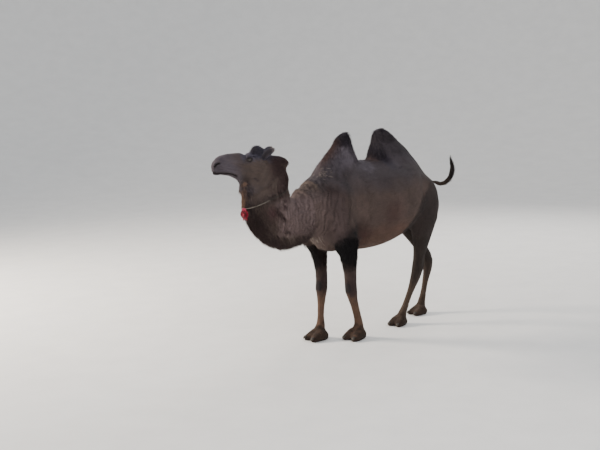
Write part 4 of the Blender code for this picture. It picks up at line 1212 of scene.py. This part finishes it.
def growShortCoat():
    front, back = fall(behindAt, 0.34, 0.42), ramp(behindAt, 0.34, 0.42)
    plant("coatFace", onHead * front * notBare * ramp(eyeGap, 0.022, 0.034),
          lambda root: 0.7 + 0.5 * ramp(toHead(root)[:, 0], 0.05, 0.35))
    plant("coatCheeks", onHead * back * notBare * ramp(eyeGap, 0.03, 0.05))
    ripples = 1 + 0.4 * crinkles(skinPoints)
    plant("coatNeck", onNeck * ripples, lambda root: 1 + 0.3 * crinkles(root))
    tailRoot = onTail * fall(-forwardAt, 1.36, 1.44)
    flank = (onTorso - onHumps + tailRoot) * notBare * ripples
    plant("coatFlankLeft", flank * (leftAt > 0))
    plant("coatFlankRight", flank * (leftAt <= 0))
    plant("coatHumps", onHumps, lambda root: 0.75 + 0.35 * ramp(root[:, 2], 1.60, 1.85))
    for name, leg in (("coatForeLegs", onFore), ("coatHindLegs", onHind)):
        plant(name, leg * notBare * (1 + ramp(-upAt, -0.3, 0)),
              lambda root: 0.45 + 0.55 * ramp(root[:, 2], 0.06, 0.30) + 0.5 * ramp(root[:, 2], 0.7, 1.0))


def growLongCoat():
    plant("coatCrown", onHead * ramp(headUpAt, 0.060, 0.11) * band(behindAt, 0.40, 0.60, 0.04),
          lambda root: 0.45 + 0.55 * ramp(toHead(root)[:, 2], 0.08, 0.13))
    ahead = headWay((-1, 0, 0.55))
    plant("coatForelock", onHead * ramp(headUpAt, 0.11, 0.14) * band(behindAt, 0.385, 0.43, 0.012),
          lie=lambda roots: unit(ahead - roots["normal"] * (roots["normal"] @ ahead)[:, None]))
    mane = np.clip(onNeck + onHead * ramp(behindAt, 0.50, 0.60), 0, 1) * ramp(facesUp, 0.05, 0.6)
    mane = mane * (0.12 + 0.88 * ramp(overCord(skinPoints), -0.05, 0.02)) * ramp(forwardAt, 0.15, 0.45)
    plant("coatNape", mane, lambda root: ((0.45 + 0.55 * ramp(overCord(root), -0.06, 0.03))
                                          * (1 - 0.5 * ramp(root[:, 2], 1.58, 1.68))))
    neckAndHead = np.clip(onNeck + onHead, 0, 1)
    overlap = neckAndHead * band(overCord(skinPoints), 0.010, 0.030, 0.006)
    plant("coatOverCord", overlap * ramp(facesUp, -0.65, -0.35) * (upAt > 1.3))
    throat = neckAndHead * ramp(facesAhead, 0.15, 0.6) * band(upAt, 1.35, 1.60, 0.04)
    plant("coatThroat", throat * ramp(-headUpAt, 0.085, 0.13) * band(behindAt, 0.27, 0.50, 0.06),
          lambda root: 0.45 + 0.55 * ramp(-toHead(root)[:, 2], 0.10, 0.18))
    plant("coatUnderNeck", onNeck * ramp(-facesUp, 0.2, 0.6) * fall(upAt, 1.32, 1.42))
    frontEdge = hill(leftAt, 0.02, 0.05) * ramp(forwardAt, -0.14, -0.06)
    saddle = ramp(-np.abs(forwardAt + 0.42), -0.26, -0.18)  # between the humps
    crests = np.maximum(ramp(upAt, 1.82, 1.90), 0.6 * ramp(upAt, 1.64, 1.72) * np.maximum(frontEdge, saddle))
    plant("coatCrests", crests * (1 - onHead) * (forwardAt < 0.2))
    plant("coatForearms", onFore * band(upAt, 0.71, 0.99, 0.04),
          lambda root: 0.6 + 0.5 * ramp(root[:, 2], 0.70, 0.84))
    plant("coatTail", onTail * (0.25 + 0.75 * ramp(-forwardAt, 1.42, 1.60)),
          lambda root: 0.45 + 0.55 * ramp(-toBody(root)[:, 0], 1.40, 1.58))
    withers = hill(forwardAt, 0.14, 0.05) * hill(upAt, 1.56, 0.05) * hill(leftAt, 0.05, 0.05)
    breast = hill(forwardAt, 0.27, 0.07) * hill(upAt, 0.99, 0.05) * hill(leftAt, 0.04, 0.07)
    plant("coatPaleLocks", withers + breast)
    plant("whiskers", onHead * fall(behindAt, 0.07, 0.14) * band(headUpAt, -0.075, 0.01, 0.01))
    overEye = ramp(skinPoints[:, 2] - eyePlaces["left"][2], 0.016, 0.030)
    plant("coatBrows", onHead * hill(eyeGap, 0.042, 0.010) * overEye)


growShortCoat()
growLongCoat()
print("coat triangles:", sum(coatTotals))


# eyes, lids and lashes

eyeColours = {"pupil": (0.004, 0.004, 0.005), "iris": (0.040, 0.020, 0.010), "limbus": (0.010, 0.007, 0.006),
              "white": (0.045, 0.032, 0.027), "rim": (0.016, 0.013, 0.014), "lash": (0.02, 0.015, 0.014)}
lashLook = {"count": 90, "length": (0.016, 0.026), "width": 0.0009, "lift": (55, 72), "rings": 3,
            "droop": 0.45, "stray": 0.15, "settle": 0.0, "uneven": 0.1}


def makeEye(side):  # a ball with a slightly raised cornea and a pupil wider than it is high
    out, back, up = eyeFrame(side)
    polar = np.linspace(0.02, math.pi - 0.02, eyeLook["rings"])[:, None]
    turn = circle(eyeLook["columns"])
    reach = eyeLook["radius"] * (1 + 0.05 * np.exp(-(polar / 0.5) ** 2))
    across, high = np.sin(polar) * np.cos(turn), np.sin(polar) * np.sin(turn)
    ball = np.stack([across, high, np.cos(polar) + 0 * across], -1) @ (back, up, out)
    obj = closedShell("eye" + side.title(), eyePlaces[side] + reach[..., None] * ball)
    across, high = np.append(across, (0, 0)), np.append(high, (0, 0))
    far = np.hypot(across, high)
    colour = np.tile(eyeColours["white"], (len(across), 1)).astype(float)
    pupil = np.hypot(across / 0.40, high / 0.24)
    for name, amount in (("limbus", fall(far, 0.78, 0.90)), ("iris", fall(far, 0.66, 0.76)),
                         ("pupil", fall(pupil, 0.9, 1.1))):
        colour += amount[:, None] * (np.array(eyeColours[name]) - colour)
    paint(obj, "coat", colour)
    wear(obj, "eye")
    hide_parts("eye_" + side)


def lidLine(side, radius, turn):  # places on the edge of the eye opening, on a ball of that radius
    out, back, up = eyeFrame(side)
    x = eyeLook["halfWidth"] * np.cos(turn)
    above, below = lidEdge(x * 0.9999)  # the corners stay a hair open
    y = np.where(np.sin(turn) > 0, above, -below)
    z = np.sqrt(np.maximum(radius ** 2 - x ** 2 - y ** 2, 0))
    return eyePlaces[side] + x[:, None] * back + y[:, None] * up + z[:, None] * out


def makeLids(side):  # a moist dark rim round the opening, and long lashes on the upper lid
    around, sides = 72, 8
    turn, angle = circle(around), circle(sides)
    line = lidLine(side, eyeLook["radius"] + 0.0016, turn)
    run = unit(np.roll(line, -1, 0) - np.roll(line, 1, 0))
    away = unit(line - eyePlaces[side])
    size = (0.0017 + 0.0004 * (np.sin(turn) > 0))[:, None]
    rings = sections(line, away, np.cross(run, away), size * np.cos(angle), size * np.sin(angle))
    faces = gridFaces(around + 1, sides) % (around * sides)
    obj = makeObject("lidRim" + side.title(), rings.reshape(-1, 3), faces)
    faceOutwards(obj)
    paint(obj, "coat", np.tile(eyeColours["rim"], (around * sides, 1)))
    wear(obj, "lid")
    chance = np.random.default_rng(50 + (side == "left"))
    count = lashLook["count"]
    spread = np.sort(chance.uniform(0.10, 0.92, count)) * math.pi
    out, back, up = eyeFrame(side)
    root = lidLine(side, eyeLook["radius"] + 0.0026, spread)
    lie = unit(up * 0.9 + np.cos(spread)[:, None] * back * 0.55 - out * 0.1)
    growCoat("lashes" + side.title(), {
        "root": root, "normal": np.tile(out, (count, 1)), "lie": lie, "bone": nearestBone(root),
        "colour": np.tile(eyeColours["lash"], (count, 1)), "chance": chance}, lashLook)


for side in ("left", "right"):
    makeEye(side)
    makeLids(side)
print("eyes made")


# ears

earRows = [  # behind the nose tip, out, up, half width, reach to the back, reach to the face
    (0.452, 0.060, 0.060, 0.021, 0.020, 0.020), (0.470, 0.082, 0.092, 0.024, 0.018, 0.020),
    (0.492, 0.099, 0.118, 0.029, 0.015, 0.019), (0.518, 0.112, 0.139, 0.028, 0.012, 0.016),
    (0.542, 0.120, 0.153, 0.018, 0.009, 0.011), (0.557, 0.123, 0.160, 0.006, 0.004, 0.005)]
# inside: painted shade in the ear's hollow
earColours = {"outside": coatColours["crown"], "inside": (0.036, 0.030, 0.034), "rim": (0.070, 0.061, 0.068),
              "tip": (0.26, 0.22, 0.21)}
earHair = {"count": 1500, "length": (0.008, 0.017), "width": 0.0016, "lift": (6, 26), "rings": 2,
           "stray": 0.3, "uneven": 0.15}


def makeEar(side):  # leaf-shaped sections along a bent line, hollowed on the side that faces out
    sign = 1.0 if side == "left" else -1.0
    rows = fairLine(earRows, 0.0035)
    centre = headWorld(rows[:, :3] * (1, sign, 1))
    run = unit(np.gradient(centre, axis=0))
    looks = headWay((-0.6, 0.8 * sign, 0))
    face = unit(looks - run * (run @ looks)[:, None])
    across = np.cross(face, run)
    c, s = np.cos(circle(36)), np.sin(circle(36))
    along = np.linspace(0, 1, len(rows))
    cup = (0.93 * ramp(along, 0.02, 0.30))[:, None]
    half, behind, before = rows[:, 3:4], rows[:, 4:5], rows[:, 5:6]
    depth = np.where(s > 0, before * s * (1 - cup * (1 - np.abs(c) ** 1.6)), behind * s)
    rings = sections(centre, across, face, half * c, depth)
    obj = closedShell("ear" + side.title(), rings)
    outside, inside = (np.array(earColours[name]) for name in ("outside", "inside"))
    # the hollow painted darker inside: painted shade
    inner = np.append(np.clip(s, 0, 1) * ramp(along, 0.05, 0.3)[:, None], (0, 0))[:, None]
    paint(obj, "coat", outside * (1 - inner) + inside * inner)
    points = meshArrays(obj.data)[0]
    measure(obj, "strands", strandSpace(points, nearestBone(points)))
    wear(obj, "skin")
    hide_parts("ear_" + side)
    chance = np.random.default_rng(60 + (side == "left"))
    count = earHair["count"]
    row = chance.integers(6, len(rows) - 1, count)
    column = chance.integers(0, len(c), count)
    root = rings[row, column]
    hollow, rim = s[column, None] > 0.25, np.abs(c[column, None]) > 0.85
    normal = np.where(hollow, face[row], unit(root - centre[row] - run[row] * 0.2))
    # hair in the hollow takes the painted shade of the inside
    shade = np.where(rim, earColours["rim"], np.where(hollow, inside, outside))
    tip = ramp(row / len(rows), 0.72, 0.88)[:, None]
    growCoat("earHair" + side.title(), {
        "root": root, "normal": normal, "lie": unit(run[row] + 0.15 * across[row]), "bone": nearestBone(root),
        "colour": shade * (1 - tip) + np.array(earColours["tip"]) * tip, "chance": chance}, earHair)


for side in ("left", "right"):
    makeEar(side)
print("ears made")


# nails

footPlaces = {  # forward, left, scale, degrees the toes turn to the right
    "fore_left": (-0.150, 0.130, 1.0, -6), "fore_right": (0.105, -0.128, 1.0, 6),
    "hind_left": (-0.800, 0.078, 0.88, -8), "hind_right": (-1.265, -0.078, 0.88, 8)}
nailLook = {
    "spread": 9, "aside": 0.042, "root": (0.024, 0.020, 0.018), "tip": (0.070, 0.058, 0.048),
    # forward of the foot's middle, up, half width, above, below
    "rows": [(0.080, 0.040, 0.012, 0.006, 0.010), (0.090, 0.040, 0.0165, 0.009, 0.012),
             (0.104, 0.034, 0.0155, 0.009, 0.013), (0.113, 0.026, 0.011, 0.006, 0.009),
             (0.118, 0.020, 0.005, 0.003, 0.004)]}


def makeNail(foot, side):  # a blunt curved claw, ridged across
    forward, left, scale, turn = footPlaces[foot]
    sign = 1 if side == "left" else -1
    yaw = math.radians(turn - sign * nailLook["spread"])
    rows = fairLine(nailLook["rows"], 0.0016) * scale
    along, aside = rows[:, 0], sign * nailLook["aside"] * scale
    centre = toWorld(np.column_stack([forward + along * math.cos(yaw) + aside * math.sin(yaw),
                                      left - along * math.sin(yaw) + aside * math.cos(yaw), rows[:, 1]]))
    run = unit(np.gradient(centre, axis=0))
    across = np.tile((math.cos(yaw), -math.sin(yaw), 0.0), (len(run), 1))
    top = np.cross(run, across)
    top *= np.sign(top[:, 2:3])
    c, s = np.cos(circle(24)), np.sin(circle(24))
    ridge = 1 + 0.03 * np.sin(np.arange(len(rows)) * 1.3)[:, None]
    half, above, below = rows[:, 2:3], rows[:, 3:4], rows[:, 4:5]
    reach = np.where(s > 0, above, below) * np.sign(s) * np.abs(s) ** 0.8
    half = half * np.sign(c) * np.abs(c) ** 0.85
    obj = closedShell(f"nail_{foot}_{side}", sections(centre, across, top, half * ridge, reach * ridge))
    tip = np.append(np.repeat(np.linspace(0, 1, len(rows)), len(c)), (0, 1))[:, None]
    paint(obj, "coat", np.array(nailLook["root"]) * (1 - tip) + np.array(nailLook["tip"]) * tip)
    wear(obj, "horn")
    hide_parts(f"nail_{foot}_{side}")


for foot in footPlaces:
    for side in ("left", "right"):
        makeNail(foot, side)
print("nails made")


# the collar: a twisted cord with a ribbon rosette at the throat

def makeCord():  # lies on the hair of the neck, found by looking out from inside the neck
    tree = BVHTree.FromPolygons([tuple(p) for p in skinPoints], [tuple(c) for c in skinCorners])
    centre = Vector(toWorld(collarLook["centre"]))
    turn = circle(collarLook["points"])
    rays = unit(np.stack([np.cos(turn), -np.sin(turn), -collarLook["rise"] * np.sin(turn)], 1))
    reach = np.array([(tree.ray_cast(centre, Vector(ray))[0] - centre).length for ray in rays])
    reach = np.maximum(reach, np.maximum(np.roll(reach, 1), np.roll(reach, -1)))
    for _ in range(4):
        reach = (np.roll(reach, 1) + 2 * reach + np.roll(reach, -1)) / 4
    clearance = 0.010 - 0.0085 * ramp(-np.sin(turn), -0.80, -0.10)  # sinks into the hair towards the nape
    line = np.array(centre) + rays * (reach + clearance)[:, None]
    turn, angle = circle(collarLook["rings"]), circle(collarLook["sides"])
    t = turn / (2 * math.pi) * len(line)
    a, b, c, d = (line[(t.astype(int) + k) % len(line)] for k in (-1, 0, 1, 2))
    fine = blend(a, b, c, d, (t % 1)[:, None])
    run = unit(np.roll(fine, -1, 0) - np.roll(fine, 1, 0))
    top = unit(np.cross(run, fine - np.array(centre)))
    twist = angle - turn[:, None] * collarLook["turns"]
    size = collarLook["radius"] * (0.82 + 0.18 * np.abs(np.cos(twist)))
    rings = sections(fine, np.cross(top, run), top, size * np.cos(angle), size * np.sin(angle))
    points = rings.reshape(-1, 3)
    obj = makeObject("collarCord", points, gridFaces(len(fine) + 1, len(angle)) % len(points))
    faceOutwards(obj)
    wearAndShade = (1 + 0.12 * mottle(points, 0.05, 71)).reshape(len(fine), -1)
    wearAndShade *= 1 - 0.7 * ramp(-np.sin(turn), -0.50, -0.10)[:, None]  # painted shade: darker towards the nape, where the cord lies under the hair
    paint(obj, "coat", np.array(collarLook["cordColour"]) * wearAndShade.reshape(-1, 1))
    wear(obj, "cord")
    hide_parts("collar_cord")
    return line[len(line) // 4]


def ribbonStrip(line, aside, halfWidth):  # a ribbon: a line carried sideways, cupped a little
    v = np.linspace(-1, 1, collarLook["ribbonPoints"])
    face = np.cross(unit(np.gradient(line, axis=0)), aside)
    return sections(line, aside, face, halfWidth[:, None] * v, 0.10 * halfWidth[:, None] * v ** 2)


def makeRosette(front):  # rings of ribbon loops, the inner ones further ahead, over two hanging ends
    look, columns = collarLook, collarLook["ribbonPoints"]
    yaw = math.radians(look["turn"])
    aside = np.array([math.cos(yaw), math.sin(yaw), 0])
    ahead = np.array([math.sin(yaw), -math.cos(yaw), 0])
    high = np.array([0, 0, 1.0])
    heart = front - (0, look["ahead"], look["drop"])
    strips, colours = [], []
    chance = np.random.default_rng(81)

    def petal(centre, angle, length, height, halfWidth, colour, lean):
        # a loop: out along its own direction and back, one side of it further forward
        t = np.linspace(0, 1, 22)
        way = aside * math.cos(angle) + high * math.sin(angle)
        sideways = -aside * math.sin(angle) + high * math.cos(angle)
        line = (centre + way * (length * np.sin(math.pi * t) ** 0.8)[:, None]
                + ahead * (height * (0.5 - 0.5 * np.cos(2 * math.pi * t)) * 0.4
                           + height * (t - 0.5) + lean * np.sin(math.pi * t))[:, None])
        width = halfWidth * (0.35 + 0.65 * np.sin(math.pi * t) ** 0.5)
        strips.append(ribbonStrip(line, np.tile(sideways, (len(t), 1)), width))
        colours.append(np.tile(np.array(look[colour]) * chance.uniform(0.75, 1.25), (len(t) * columns, 1)))

    for count, first, before, *shape in look["loops"]:
        for i in range(count):
            petal(heart + ahead * before, i * 2 * math.pi / count + first, *shape)
    for angle in look["pinkAngles"]:
        petal(heart + high * 0.018, angle, 0.036, 0.014, 0.0100, "pink", 0.004)
    for shift, length in look["ends"]:
        t = np.linspace(0, 1, 18)
        line = (heart + aside * (shift * (0.4 + t))[:, None] - high * (length * t)[:, None]
                + ahead * (0.004 + 0.005 * np.sin(5 * t))[:, None])
        strips.append(ribbonStrip(line, np.tile(aside, (len(t), 1)), np.full(len(t), 0.0085)))
        colours.append(np.tile(look["red"], (len(t) * columns, 1)))
    faces, places, base = [], [], 0
    for rows in map(len, strips):
        faces.append(gridFaces(rows, columns, closed=False) + base)
        grid = np.meshgrid(np.linspace(0, 1, columns), np.arange(rows) / 10.0)
        places.append(np.stack(grid, -1).reshape(-1, 2))
        base += rows * columns
    faces = np.vstack(faces)
    obj = makeObject("collarRosette", np.vstack(strips).reshape(-1, 3), faces)
    unroll(obj, "ribbon", np.vstack(places), faces)
    paint(obj, "coat", np.vstack(colours))
    thick = obj.modifiers.new("thickness", "SOLIDIFY")
    thick.thickness = 0.0007
    thick.offset = 0
    wear(obj, "ribbon")
    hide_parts("collar_rosette")


makeRosette(makeCord())
print("collar made")
